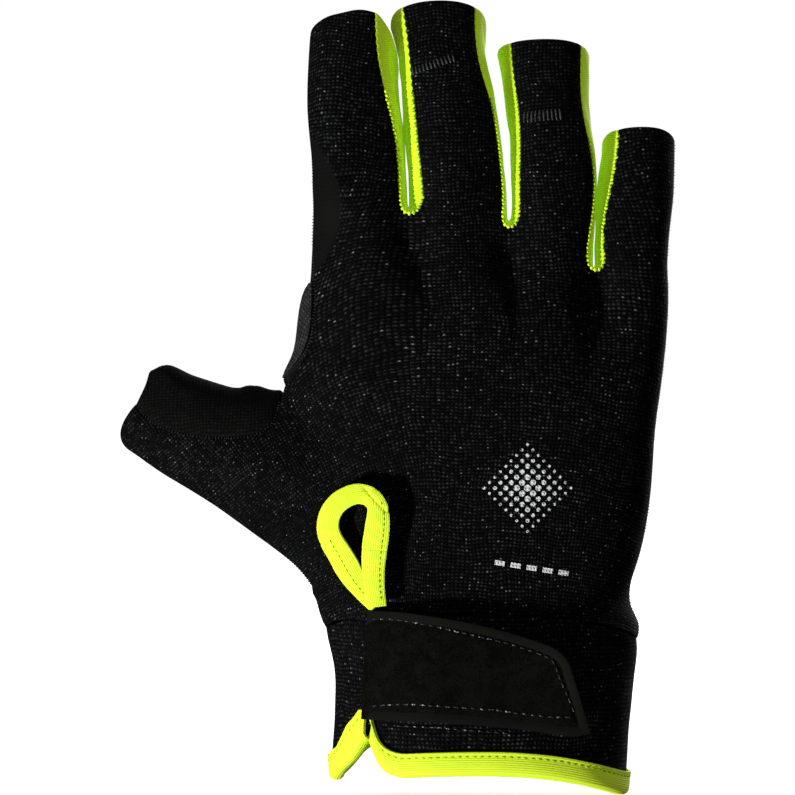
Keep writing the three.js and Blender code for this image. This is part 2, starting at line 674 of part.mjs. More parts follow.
// How far each point on the rim of a piece moves in, so that pieces sewn together keep a seam gap
function rimShifts(list, place, normals, inset) {
  const inward = new Map();
  for (const [start, end] of openEdges(list)) {
    const along = place.get(end).clone().sub(place.get(start));
    for (const name of [start, end]) {
      const side = normals.get(name).clone().cross(along).normalize();
      inward.set(name, [...(inward.get(name) ?? []), side]);
    }
  }
  const shifts = new Map();
  for (const [name, sides] of inward) {
    const sum = sides.reduce((total, side) => total.add(side), new THREE.Vector3());
    const spread = Math.max(0.5, sum.lengthSq() / (2 * sides.length));
    shifts.set(name, sum.multiplyScalar(inset / spread));
  }
  return shifts;
}

// A closed solid from a list of faces: the outer side, the inner side one wall deeper, and the rim
function cloth(list, place, normals, wall, inset, stand = 0) {
  const shifts = rimShifts(list, place, normals, inset);
  const index = new Map();
  const position = [];
  for (const name of new Set(list.flat())) {
    const normal = normals.get(name);
    const outer = place.get(name).clone().addScaledVector(normal, stand);
    if (shifts.has(name)) outer.add(shifts.get(name));
    const inner = outer.clone().addScaledVector(normal, -wall);
    index.set(name, index.size);
    position.push(...outer.toArray(), ...inner.toArray());
  }
  const triangles = [];
  for (const names of list) {
    const [a, b, c, d] = names.map((name) => 2 * index.get(name));
    triangles.push(a, b, c, a, c, d);
    triangles.push(a + 1, c + 1, b + 1, a + 1, d + 1, c + 1);
  }
  for (const [start, end] of openEdges(list)) {
    const a = 2 * index.get(start);
    const b = 2 * index.get(end);
    triangles.push(b, a, a + 1, b, a + 1, b + 1);
  }
  return solid(position, triangles);
}

function solid(position, triangles) {
  const geometry = new THREE.BufferGeometry();
  geometry.setAttribute('position', new THREE.Float32BufferAttribute(position, 3));
  geometry.setIndex(triangles);
  geometry.computeVertexNormals();
  return geometry;
}

function panelFaces(panel) {
  return faces.filter((face) => face.panel === panel).map((face) => face.names);
}

// Faces between rows of points, the first row lowest and each row from left to right
function gridFaces(rows, columns, name) {
  const list = [];
  for (let row = 0; row < rows; row++) {
    for (let column = 0; column < columns; column++) {
      list.push([name(row, column), name(row, column + 1), name(row + 1, column + 1), name(row + 1, column)]);
    }
  }
  return list;
}

// How far out the finished back lies at a place, as the lowest y of its faces there
function frontAt(x, height) {
  const target = new THREE.Vector3(x, 0, height);
  const flat = new THREE.Triangle();
  let front = 0;
  for (const { panel, names } of faces) {
    if (panel !== 'back_panel' && panel !== 'cuff') continue;
    const corners = names.map((name) => points.get(name));
    for (const [a, b, c] of [[0, 1, 2], [0, 2, 3]]) {
      const three = [corners[a], corners[b], corners[c]];
      flat.set(...three.map((corner) => new THREE.Vector3(corner.x, 0, corner.z)));
      const shares = flat.getBarycoord(target, new THREE.Vector3());
      if (!shares || Math.min(shares.x, shares.y, shares.z) < 0) continue;
      front = Math.min(front, three[0].y * shares.x + three[1].y * shares.y + three[2].y * shares.z);
    }
  }
  return front;
}

// Lowest y of the back within some millimetres of a place
function restAt(x, height, reach) {
  const offsets = [-reach, 0, reach];
  return Math.min(...offsets.flatMap((across) => offsets.map((up) => frontAt(x + across, height + up))));
}

// A bowed piece that lies on the back, its corners given by a function of two shares
function backPiece(rows, columns, pointAt, wall) {
  const place = new Map();
  const name = (row, column) => `${row} ${column}`;
  for (let row = 0; row <= rows; row++) {
    for (let column = 0; column <= columns; column++) {
      place.set(name(row, column), pointAt(column / columns, row / rows));
    }
  }
  const list = gridFaces(rows, columns, name);
  return cloth(list, place, pointNormals(list, place), wall, 0, wall);
}

// Lime tape folded over the cuff's lower edge: a U section carried round the cuff from slit to slit
function bindingGeometry(normals) {
  const last = CUFF_ROWS.length;
  const order = [[SLIT_COLUMN, true]];
  for (let step = 1; step <= COLUMNS.length; step++) order.push([SLIT_COLUMN + step, false]);
  const outside = LAYER_GAP + TAPE_WALL;
  const inside = CUFF_WALL + LAYER_GAP;
  const profile = [
    { out: outside, up: BINDING_WIDTH }, { out: outside, up: -outside },
    { out: -inside - TAPE_WALL, up: -outside }, { out: -inside - TAPE_WALL, up: BINDING_WIDTH },
    { out: -inside, up: BINDING_WIDTH }, { out: -inside, up: -LAYER_GAP },
    { out: LAYER_GAP, up: -LAYER_GAP }, { out: LAYER_GAP, up: BINDING_WIDTH },
  ];
  const position = [];
  for (const [index, right] of order) {
    const edge = points.get(cuffName(index, last, right));
    const upward = points.get(cuffName(index, last - 1, right)).clone().sub(edge).normalize();
    const normal = normals.get(cuffName(index, last, right));
    for (const { out, up } of profile) {
      position.push(...edge.clone().addScaledVector(normal, out).addScaledVector(upward, up).toArray());
    }
  }
  const triangles = [];
  const ring = profile.length;
  for (let row = 0; row < order.length - 1; row++) {
    for (let corner = 0; corner < ring; corner++) {
      const a = row * ring + corner;
      const b = row * ring + (corner + 1) % ring;
      triangles.push(a, b, b + ring, a, b + ring, a + ring);
    }
  }
  const end = (order.length - 1) * ring;
  for (const [a, b, c, d] of [[0, 1, 6, 7], [1, 2, 5, 6], [2, 3, 4, 5]]) {
    triangles.push(a, c, b, a, d, c);
    triangles.push(end + a, end + b, end + c, end + a, end + c, end + d);
  }
  return solid(position, triangles);
}

// Closing strap: starts at the slit, narrows and falls to the little finger side, and lifts at its tip
function strapPoint(along, up) {
  const shape = STRAP_SHAPE;
  const slant = shape.tipSlant * STRAP_LENGTH * along ** 3 - shape.headSlant * STRAP_WIDTH * (1 - along);
  const x = SLIT_ACROSS + STRAP_LENGTH * (shape.start + shape.run * along) + (1 - up) * slant;
  const topEdge = STRAP_TOP - shape.topDrop * STRAP_WIDTH * along ** 1.8;
  const lowEdge = STRAP_TOP - STRAP_WIDTH - shape.lowDrop * STRAP_WIDTH * along ** 2.5;
  const corner = Math.max(0, (along - shape.cornerFrom) / (1 - shape.cornerFrom)) ** 2;
  const round = shape.cornerDrop * STRAP_WIDTH * corner;
  const z = lerp(lowEdge + round, topEdge - round, up);
  const over = smoothstep(along, shape.restFrom, shape.restTo) * (FASTENER_WALL + LAYER_GAP);
  const raised = Math.max(0, (along - shape.liftFrom) / (1 - shape.liftFrom)) ** LIFT_GATHER;
  const level = Math.min(restAt(x, shape.rest * CROTCH_HEIGHT, SEAM_GAP), restAt(x, z, REST_REACH));
  return new THREE.Vector3(x, level - LAYER_GAP - over - STRAP_LIFT * raised, z);
}

// Fastener patch on the cuff, below the middle of the strap
const FASTENER_START = 0.36; // share of the strap's length

function fastenerPoint(along, up) {
  const start = strapPoint(FASTENER_START, 0.5);
  const x = start.x + FASTENER_LENGTH * along;
  const z = start.z + FASTENER_WIDTH * (up - 0.6);
  return new THREE.Vector3(x, restAt(x, z, SEAM_GAP) - LAYER_GAP, z);
}

// Outlines of the pull loop from its foot: across in shares of LOOP_WIDTH, along of LOOP_LENGTH
const LOOP_OUTSIDE = [[-0.02, 0], [-0.27, 0.12], [-0.52, 0.28], [-0.76, 0.52], [-0.8, 0.74], [-0.58, 0.92],
  [-0.25, 1], [0.07, 0.92], [0.17, 0.72], [0.13, 0.42], [0.12, 0.12], [0.12, 0]];
const LOOP_INSIDE = [[-0.17, 0.34], [-0.3, 0.36], [-0.4, 0.42], [-0.52, 0.56], [-0.55, 0.68], [-0.5, 0.79],
  [-0.36, 0.85], [-0.2, 0.84], [-0.16, 0.74], [-0.17, 0.62], [-0.16, 0.48], [-0.15, 0.4]];

const LOOP_START = 0.07; // how far right of the slit the loop's foot lies, as a share of LOOP_WIDTH

function loopGeometry() {
  const foot = new THREE.Vector3(SLIT_ACROSS + LOOP_START * LOOP_WIDTH, 0, STRAP_TOP + LAYER_GAP);
  const curve = (table) => new THREE.CatmullRomCurve3(table.map(([across, along]) => new THREE.Vector3(
    foot.x + across * LOOP_WIDTH, 0, foot.z + along * LOOP_LENGTH)), true, 'centripetal');
  const outside = curve(LOOP_OUTSIDE);
  const inside = curve(LOOP_INSIDE);
  const count = 2 * LOOP_OUTSIDE.length;
  const position = [];
  for (let step = 0; step < count; step++) {
    for (const point of [outside.getPoint(step / count), inside.getPoint(step / count)]) {
      point.z = Math.max(point.z, foot.z);
      const share = (point.z - foot.z) / LOOP_LENGTH;
      const rest = restAt(point.x, point.z, REST_REACH) - LAYER_GAP - LOOP_LIFT * share ** 1.5;
      position.push(point.x, rest - LOOP_WALL, point.z, point.x, rest, point.z);
    }
  }
  const triangles = [];
  for (let step = 0; step < count; step++) {
    const a = 4 * step;
    const b = 4 * ((step + 1) % count);
    const quads = [[a, b, b + 2, a + 2], [a + 1, a + 3, b + 3, b + 1], [a, a + 1, b + 1, b],
      [a + 2, b + 2, b + 3, a + 3]];
    for (const [p, q, r, s] of quads) triangles.push(p, r, q, p, s, r);
  }
  return solid(position, triangles);
}

buildHand();
FINGERS.forEach((finger, number) => buildFinger(number));
for (let web = 0; web < LAST_FINGER; web++) buildWeb(web);
buildThumb();
buildCuff();
relaxThumbRoot();

// The head of the slit is one place on the wrist seam, but belongs to both sides of the slit
points.set(cuffName(SLIT_COLUMN, 0, true), points.get(cuffName(SLIT_COLUMN, 0)));
const skinNormals = pointNormals(faces.map((face) => face.names), points);
skinNormals.set(cuffName(SLIT_COLUMN, 0, true), skinNormals.get(cuffName(SLIT_COLUMN, 0)));

const glove = new THREE.Group();

function addPiece(name, geometry, colour, roughness) {
  const material = new THREE.MeshStandardMaterial({ color: colour, roughness, metalness: 0 });
  const mesh = new THREE.Mesh(geometry, material);
  mesh.name = name;
  glove.add(mesh);
}

function addPanel(name, wall, colour, roughness) {
  addPiece(name, cloth(panelFaces(name), points, skinNormals, wall, SEAM_GAP / 2), colour, roughness);
}

addPanel('back_panel', KNIT_WALL, BLACK_KNIT, 0.85);
addPanel('palm_panel', SUEDE_WALL, BLACK_SUEDE, 0.9);
addPanel('thumb_gusset', SUEDE_WALL, BLACK_SUEDE, 0.9);
for (let web = 0; web < LAST_FINGER; web++) {
  addPanel(`fourchette_${FINGERS[web].name}_${FINGERS[web + 1].name}`, TAPE_WALL, LIME, 0.7);
}
addPanel('cuff', CUFF_WALL, BLACK_KNIT, 0.85);

addPiece('palm_patch', cloth(patchFaces, points, skinNormals, SUEDE_WALL, SEAM_GAP,
  SUEDE_WALL + LAYER_GAP), GRIP_SUEDE, 0.9);
addPiece('cuff_binding', bindingGeometry(skinNormals), LIME, 0.6);
addPiece('wrist_strap', backPiece(6, 16, strapPoint, STRAP_WALL), BLACK_SUEDE, 0.95);
addPiece('strap_fastener', backPiece(2, 6, fastenerPoint, FASTENER_WALL), BLACK_SUEDE, 0.9);
addPiece('pull_loop', loopGeometry(), LIME, 0.6);

export default glove;
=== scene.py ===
import math

import bmesh
import bpy
from mathutils import Matrix, Vector, noise
from mathutils.bvhtree import BVHTree
from mathutils.kdtree import KDTree


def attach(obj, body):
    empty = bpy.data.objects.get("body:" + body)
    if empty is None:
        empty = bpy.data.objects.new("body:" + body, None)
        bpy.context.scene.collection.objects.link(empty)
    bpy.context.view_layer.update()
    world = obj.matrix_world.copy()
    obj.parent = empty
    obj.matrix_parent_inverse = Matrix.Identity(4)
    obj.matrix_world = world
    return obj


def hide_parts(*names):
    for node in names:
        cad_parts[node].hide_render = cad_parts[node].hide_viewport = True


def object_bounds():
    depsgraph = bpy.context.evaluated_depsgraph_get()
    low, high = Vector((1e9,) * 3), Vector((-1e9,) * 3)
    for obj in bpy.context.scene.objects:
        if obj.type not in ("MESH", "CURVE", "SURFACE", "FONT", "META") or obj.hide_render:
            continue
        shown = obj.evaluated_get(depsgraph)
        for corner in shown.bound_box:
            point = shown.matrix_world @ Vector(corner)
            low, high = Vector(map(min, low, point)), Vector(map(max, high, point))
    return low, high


# Fingerless climbing glove for the right hand, filled as if worn, with its back to the camera.
# Metres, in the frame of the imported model: fingers up, back of the hand to -Y, thumb to -X.

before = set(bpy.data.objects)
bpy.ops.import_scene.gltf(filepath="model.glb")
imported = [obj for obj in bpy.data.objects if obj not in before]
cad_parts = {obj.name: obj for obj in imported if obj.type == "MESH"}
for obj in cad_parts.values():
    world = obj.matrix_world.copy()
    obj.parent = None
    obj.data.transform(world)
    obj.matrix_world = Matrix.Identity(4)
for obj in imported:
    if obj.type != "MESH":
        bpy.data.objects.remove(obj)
cad_low, cad_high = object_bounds()

MM = 0.001
KNIT_WALL = 1.6 * MM
SUEDE_WALL = 1.2 * MM
LIME_WALL = 1.0 * MM
CUFF_WALL = 1.6 * MM
STRAP_WALL = 2 * MM
SEAM_GAP = 0.3 * MM
SEAM_REACH = 0.6 * MM
LEAST_FILL = 0.31


# Camera

LENS = 200
SENSOR = 36
VIEW_WIDTH = 198.75 * MM
VIEW_MIDDLE = (-20.875 * MM, 93.125 * MM)
VIEW_PLANE = -4 * MM


def set_camera():
    """A long lens that looks straight at the back of the hand from about a metre away."""
    shot = bpy.data.cameras.new("portrait")
    shot.lens = LENS
    shot.sensor_width = SENSOR
    shot.clip_start = 0.05
    shot.clip_end = 50
    camera = bpy.data.objects.new("portrait", shot)
    bpy.context.scene.collection.objects.link(camera)
    camera.location = (VIEW_MIDDLE[0], VIEW_PLANE - VIEW_WIDTH * LENS / SENSOR, VIEW_MIDDLE[1])
    camera.rotation_euler = (math.radians(90), 0, 0)
    bpy.context.scene.camera = camera


set_camera()


# Working with pieces

def deselect():
    bpy.ops.object.select_all(action="DESELECT")


def take(piece):
    """Makes a piece the only one that operators act on."""
    deselect()
    piece.select_set(True)
    bpy.context.view_layer.objects.active = piece


def apply_modifiers(piece):
    take(piece)
    for modifier in list(piece.modifiers):
        bpy.ops.object.modifier_apply(modifier=modifier.name)


# An edge that crosses a wall is as long as the wall is thick, but for this share, and runs this much along
# the shell's own direction
LENGTH_ERROR = 0.02
LEAST_CROSSING = 0.45


def crosses_wall(edge, wall):
    """Whether an edge of the rim runs from a cloth shell's outer side to its inner one."""
    start, end = edge.verts
    along = end.co - start.co
    if abs(along.length / wall - 1) > LENGTH_ERROR:
        return False
    return max(abs(vertex.normal.dot(along.normalized())) for vertex in edge.verts) > LEAST_CROSSING


def sides_of(mesh, wall):
    """The faces of a closed cloth shell in two lists, its outer and inner side, without the rim between."""
    mesh.normal_update()
    left = {face for face in mesh.faces if not any(crosses_wall(edge, wall) for edge in face.edges)}
    sides = []
    while left:
        group = [left.pop()]
        for face in group:
            for edge in face.edges:
                for other in edge.link_faces:
                    if other in left:
                        left.remove(other)
                        group.append(other)
        sides.append(group)
    sides.sort(key=len, reverse=True)
    return sides[:2]


def spread(faces, axis):
    places = [vertex.co[axis] for face in faces for vertex in face.verts]
    return max(places) - min(places)


def cut_cloth(node, name, wall, faces_gap=False):
    """One side of a CAD cloth panel as a sheet of four-sided faces. It is the outer side, which is the
    wider one, and the narrower one on a panel that lines the gap between two fingers."""
    piece = bpy.data.objects.new(name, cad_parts[node].data.copy())
    bpy.context.scene.collection.objects.link(piece)
    take(piece)
    bpy.ops.mesh.customdata_custom_splitnormals_clear()
    bpy.ops.object.mode_set(mode="EDIT")
    bpy.ops.mesh.select_all(action="SELECT")
    bpy.ops.mesh.remove_doubles(threshold=0.001 * MM)
    bpy.ops.mesh.tris_convert_to_quads(face_threshold=math.radians(70), shape_threshold=math.radians(70))
    mesh = bmesh.from_edit_mesh(piece.data)
    mesh.faces.ensure_lookup_table()
    if faces_gap:
        keep = set(min(sides_of(mesh, wall), key=lambda side: spread(side, 0)))
    else:
        keep = set(max(sides_of(mesh, wall), key=lambda side: sum(spread(side, axis) for axis in range(3))))
    for face in mesh.faces:
        face.select_set(face not in keep)
    bmesh.update_edit_mesh(piece.data)
    bpy.ops.mesh.delete(type="FACE")
    bpy.ops.object.mode_set(mode="OBJECT")
    return piece


def start_map(piece):
    """Leaves a piece with one empty map, for its pattern."""
    while piece.data.uv_layers:
        piece.data.uv_layers.remove(piece.data.uv_layers[0])
    return piece.data.uv_layers.new(name="cloth").data


# Faces that look at least this squarely out of the pattern say which way it is turned
LEAST_FACING = 0.6


def lay_pattern(piece, across, up):
    """Unwraps a sheet and turns its pattern to a direction across and one up. The map is in mm."""
    take(piece)
    start_map(piece)
    bpy.ops.object.mode_set(mode="EDIT")
    bpy.ops.mesh.select_all(action="SELECT")
    bpy.ops.uv.unwrap(method="ANGLE_BASED", margin=0)
    bpy.ops.object.mode_set(mode="OBJECT")
    across, up = Vector(across), Vector(up)
    facing = across.cross(up)
    mesh = piece.data
    flat = mesh.uv_layers["cloth"].data
    pairs = []
    for polygon in mesh.polygons:
        if polygon.normal.dot(facing) < LEAST_FACING:
            continue
        for loop in polygon.loop_indices:
            place = mesh.vertices[mesh.loops[loop].vertex_index].co
            pairs.append((complex(*flat[loop].uv), complex(place.dot(across), place.dot(up)) / MM))
    middle = sum(flat_place for flat_place, _ in pairs) / len(pairs)
    goal = sum(place for _, place in pairs) / len(pairs)
    top = sum((flat_place - middle).conjugate() * (place - goal) for flat_place, place in pairs)
    turn = top / sum(abs(flat_place - middle) ** 2 for flat_place, _ in pairs)
    sheet_area = sum(polygon.area for polygon in mesh.polygons) / MM ** 2
    turn *= math.sqrt(sheet_area / flat_area(piece)) / abs(turn)
    for loop in flat:
        place = (complex(*loop.uv) - middle) * turn + goal
        loop.uv = (place.real, place.imag)


def flat_area(piece):
    """Area of the piece's pattern, in the pattern's own unit squared."""
    flat = piece.data.uv_layers["cloth"].data
    total = 0
    for polygon in piece.data.polygons:
        corners = [flat[loop].uv for loop in polygon.loop_indices]
        for start, end in zip(corners, corners[1:] + corners[:1]):
            total += (start.x * end.y - end.x * start.y) / 2
    return abs(total)


def move_pattern(piece, rule):
    for loop in piece.data.uv_layers["cloth"].data:
        loop.uv = rule(loop.uv.x, loop.uv.y)


def soften(piece, levels=2):
    """Rounds a sheet's flat faces. Its corners stay where they are."""
    rounding = piece.modifiers.new("rounding", "SUBSURF")
    rounding.levels = rounding.render_levels = levels
    rounding.boundary_smooth = "PRESERVE_CORNERS"
    apply_modifiers(piece)


def edge_points(piece):
    """Indices of the vertices on a sheet's open edge."""
    mesh = bmesh.new()
    mesh.from_mesh(piece.data)
    found = [vertex.index for vertex in mesh.verts if vertex.is_boundary]
    mesh.free()
    return found


def tree_of(places):
    tree = KDTree(len(places))
    for number, place in enumerate(places):
        tree.insert(place, number)
    tree.balance()
    return tree


def edge_places(piece):
    return [piece.data.vertices[index].co.copy() for index in edge_points(piece)]


def heights_of(piece):
    heights = [vertex.co.z for vertex in piece.data.vertices]
    return min(heights), max(heights)


def push_out(piece, height_at):
    """Moves a sheet's vertices along their directions, by the height that a rule gives for each place."""
    normals = [vertex.normal.copy() for vertex in piece.data.vertices]
    for vertex, normal in zip(piece.data.vertices, normals):
        vertex.co += normal * height_at(vertex.co)


def sew(pieces, depth, reach):
    """Turns the edges of sheets that meet inwards, and closes the gap between them."""
    edges = {piece: edge_places(piece) for piece in pieces}
    for piece in pieces:
        others = tree_of([place for other in pieces if other is not piece for place in edges[other]])
        sewn = []
        vertices = piece.data.vertices
        normals = [vertex.normal.copy() for vertex in vertices]
        for index in edge_points(piece):
            place, _, distance = others.find(vertices[index].co)
            if distance < 2.5 * SEAM_GAP:
                sewn.append(vertices[index].co.copy())
                vertices[index].co = vertices[index].co.lerp(place, 0.5)
        if not sewn:
            continue
        seam = tree_of(sewn)
        for vertex, normal in zip(vertices, normals):
            distance = seam.find(vertex.co)[2]
            if distance < reach:
                vertex.co -= normal * depth * (1 - distance / reach) ** 2


def crumple(piece, height, size, seed):
    """Small uneven swellings, as of cloth over a hand. They fade at the sheet's edge."""
    border = tree_of(edge_places(piece))
    shift = Vector((seed * 7.3, seed * 3.1, seed * 5.7))

    def swelling(place):
        fade = min(1, border.find(place)[2] / (4 * MM))
        return height * fade * noise.noise(place / size + shift)

    push_out(piece, swelling)


def thicken(piece, wall, rim, outwards=False):
    """Gives a sheet its wall, inwards or outwards, and takes the sharpness off its rim."""
    shell = piece.modifiers.new("wall", "SOLIDIFY")
    shell.thickness = wall
    shell.offset = 1 if outwards else -1
    worn = piece.modifiers.new("rim", "BEVEL")
    worn.width = rim
    worn.segments = 3 if outwards else 2
    worn.limit_method = "ANGLE"
    worn.angle_limit = math.radians(60)
    apply_modifiers(piece)
    bpy.ops.object.shade_smooth_by_angle(angle=math.radians(50))


def face_outwards(piece, outside_at):
    """Turns a sheet over if most of its faces point away from the side they should."""
    towards = sum(polygon.normal.dot(outside_at(polygon.center)) for polygon in piece.data.polygons)
    if towards < 0:
        take(piece)
        bpy.ops.object.mode_set(mode="EDIT")
        bpy.ops.mesh.select_all(action="SELECT")
        bpy.ops.mesh.flip_normals()
        bpy.ops.object.mode_set(mode="OBJECT")


def declare_sheet(piece):
    """Works out the width and length of a sheet's pattern, but keeps neither. A very hollow outline counts
    as a shorter one of the same area."""
    flat = piece.data.uv_layers["cloth"].data
    lows = [min(loop.uv[axis] for loop in flat) for axis in (0, 1)]
    highs = [max(loop.uv[axis] for loop in flat) for axis in (0, 1)]
    width, length = [(high - low) * MM for low, high in zip(lows, highs)]
    area = min(piece["sheet_area"] * MM ** 2, width * length)
    length = min(length, area / (LEAST_FILL * width))


def remember_area(piece):
    piece["sheet_area"] = sum(polygon.area for polygon in piece.data.polygons) / MM ** 2


# Panels, cut from the solids

back = cut_cloth("back_panel", "knit_back", KNIT_WALL)
palm = cut_cloth("palm_panel", "suede_palm", SUEDE_WALL)
gusset = cut_cloth("thumb_gusset", "suede_thumb", SUEDE_WALL)
walls = [
    cut_cloth("fourchette_index_middle", "finger_wall_index_middle", LIME_WALL, True),
    cut_cloth("fourchette_middle_ring", "finger_wall_middle_ring", LIME_WALL, True),
    cut_cloth("fourchette_ring_little", "finger_wall_ring_little", LIME_WALL, True),
]
cuff = cut_cloth("cuff", "knit_cuff", CUFF_WALL)
patch = cut_cloth("palm_patch", "grip_patch", SUEDE_WALL)
strap = cut_cloth("wrist_strap", "suede_strap", STRAP_WALL)

# Measured points are given on a flat sheet with this step, across from its left and down from its top. The
# frame's origin lies at this point of it.
STEP = 0.25 * MM
ORIGIN_ACROSS = 481
ORIGIN_DOWN = 770


def at(px, py):
    """Place across and up of a measured point."""
    return (px - ORIGIN_ACROSS) * STEP, (ORIGIN_DOWN - py) * STEP


# Seams and outlines of the worn fingers. Each row is one line up the glove, from left to right. Its points
# are the measured height, the place across, and how far the finger inside pushes the cloth across, in steps.
FINGER_LINES = [
    ("side", [(31, 309, 2), (61, 306, 2.5), (109, 305, 2.5), (126, 306, 2), (139, 307, 6.5), (170, 309.5, 4),
              (206, 312, 0.5), (242, 313, -2), (266, 312, -1)]),
    ("middle", [(12, 340, 0), (266, 345, 0)]),
    ("seam", [(12, 366, 0), (36, 369, 1), (65, 372.4, 5), (92, 378, 7), (116, 381.5, 11), (145, 385, 12),
              (170, 387.5, 10.5), (194, 391, 9), (208, 395.5, 7)]),
    ("side", [(46, 382, 10), (63, 391, 7), (80, 392, 6), (97, 393, 5), (116, 394.5, 7), (145, 396.6, 8),
              (170, 398, 8.6), (208, 404, 4)]),
    ("side", [(22, 398, -9), (46, 399, -1), (61, 399.4, 0), (97, 401.8, 1), (145, 406, 0.6), (206, 409, 0)]),
    ("seam", [(12, 410.3, -7), (36, 411, -5), (61, 411.8, -3.5), (97, 412.7, 0), (121, 413.8, 2.5),
              (150, 415.2, 4), (174, 416.7, 5), (206, 419, 6)]),
    ("middle", [(12, 443, -2), (60, 445, 0), (121, 447, 3), (200, 450, 3)]),
    ("seam", [(12, 475, -3), (48, 475.7, -2.5), (58, 476, 2), (66, 476.3, 9), (80, 477, 12.6), (97, 478, 15),
              (121, 479.5, 17), (143, 481, 19), (184, 485, 18), (206, 488.5, 16), (221, 494, 11)]),
    ("side", [(20, 485.4, 1), (48, 486, -1), (61, 486, 0), (80, 487.5, 3.5), (100, 488.8, 6.5),
              (126, 490.2, 8.5), (143, 491.3, 10.5), (170, 493.9, 10), (206, 498, 10)]),
    ("side", [(56, 501, -3.6), (78, 501.5, 0), (109, 502.3, 5), (145, 503.7, 8), (179, 506.5, 5),
              (210, 508, 8)]),
    ("seam", [(45, 511, 5), (72, 512.3, 6), (102, 513.4, 6), (126, 514, 7), (157, 514.4, 6), (194, 515.4, 4),
              (212, 516, 3)]),
    ("middle", [(45, 545, 3), (140, 546, 4), (220, 548, 1)]),
    ("seam", [(46, 575.6, 3), (73, 576, 4), (104, 576.4, 6), (131, 577.4, 8.5), (141, 577.7, 13),
              (157, 578.3, 18), (184, 579.3, 17), (213, 580.8, 13), (233, 582.4, 7), (252, 584.3, 2.4)]),
    ("side", [(53, 583.6, 6), (80, 583.9, 4), (104, 584.2, 5), (131, 585.3, 8), (157, 587.2, 11),
              (194, 589.8, 8), (242, 592, 3)]),
    ("side", [(143, 599.3, 4), (165, 597.8, 2), (184, 598, 0), (215, 598.3, -3.5), (250, 596.5, -4.5)]),
    ("seam", [(130, 615, 5), (150, 614.5, 5), (174, 613.7, 3), (194, 612.2, 0), (208, 611.3, -2.4),
              (223, 610.6, -6), (242, 609.7, -5.5), (257, 608.6, -3.5)]),
    ("middle", [(130, 640, 7), (150, 640, 7), (194, 640, 3), (230, 641, -2), (266, 642, -1)]),
    ("side", [(130, 664, 9.7), (145, 665, 9.7), (194, 666, 7), (230, 669, 1), (266, 670, -3),
              (290, 670, -1)]),
]
# Rise of the finger hems: the finger's left and right, the height below which nothing rises, the hem's
# height, and its rise, in steps
HEM_RISES = [(340, 394, 90, 30, 16), (400, 494, 60, 12, 4), (500, 592, 80, 46, 3), (600, 672, 160, 134, 4)]
HEM_SLANT = 29
FINGERS_END = 330
PUSH_END = 34


def line_at(rows, py):
    """Place and push of a line at a height. Below its last row the push fades away."""
    if py <= rows[0][0]:
        return rows[0][1:]
    for (top, place, push), (low, next_place, next_push) in zip(rows, rows[1:]):
        if py <= low:
            share = (py - top) / (low - top)
            return place + (next_place - place) * share, push + (next_push - push) * share
    _, place, push = rows[-1]
    return place, push * max(0, 1 - (py - rows[-1][0]) / PUSH_END)


def push_between(stops, px):
    """Push at a place across, between the lines on its two sides."""
    if px <= stops[0][0]:
        return stops[0][1]
    for (left, push), (right, next_push) in zip(stops, stops[1:]):
        if px <= right:
            return push + (next_push - push) * (px - left) / max(0.01, right - left)
    return stops[-1][1]


def shape_fingers(piece):
    """Pushes the cloth out over the finger joints. The knit on the back moves furthest, over the walls."""
    for vertex in piece.data.vertices:
        px, py = ORIGIN_ACROSS + vertex.co.x / STEP, ORIGIN_DOWN - vertex.co.z / STEP
        if py > FINGERS_END:
            continue
        lines = [(kind, *line_at(rows, py)) for kind, rows in FINGER_LINES]
        outline = [(place, push) for kind, place, push in lines if kind != "seam"]
        everything = [(place, push) for _, place, push in lines]
        sunk = []
        for kind, place, push in lines:
            sunk.append((place, abs(push - push_between(outline, place)) if kind == "seam" else 0))
        front = min(1, max(0, (1 - vertex.co.y / MM) / 4))
        across = front * push_between(everything, px) + (1 - front) * push_between(outline, px)
        rise = 0
        for left, right, low, top, height in HEM_RISES:
            if left < px < right:
                up = min(1, max(0, (low - py) / (low - top)))
                over = min(1, (px - left) / HEM_SLANT) if (left, right) == HEM_RISES[0][:2] else 1
                rise = height * up * over
        vertex.co.x += across * STEP
        vertex.co.y += 0.5 * front * push_between(sunk, px) * STEP
        vertex.co.z += rise * STEP


HEEL = (-49 * MM, 103 * MM)
HEEL_DEPTH = 1.2 * MM
HEEL_REACH = 6 * MM


def draw_in_heel(piece):
    """Draws the side of the hand in, just above the thumb's crotch."""
    for vertex in piece.data.vertices:
        distance = math.hypot(vertex.co.x - HEEL[0], vertex.co.z - HEEL[1])
        vertex.co.x += HEEL_DEPTH * math.exp(-(distance / HEEL_REACH) ** 2)


for piece in [back, palm, patch] + walls:
    shape_fingers(piece)
for piece in (back, palm, patch):
    draw_in_heel(piece)

lay_pattern(back, (1, 0, 0), (0, 0, 1))
lay_pattern(palm, (-1, 0, 0), (0, 0, 1))
lay_pattern(patch, (-1, 0, 0), (0, 0, 1))
lay_pattern(gusset, (-1, 0, 0), (0, -1, 0))
lay_pattern(strap, (1, 0, 0), (0, 0, 1))
for wall in walls:
    lay_pattern(wall, (0, 1, 0), (0, 0, 1))


# The rows of the knit run level over the knuckles, fall away to the little finger side, and turn up
# towards the thumb.
THUMB_TURN = 0.85
THUMB_EASE = 26
SIDE_FALL = 0.30
SIDE_EASE = 40


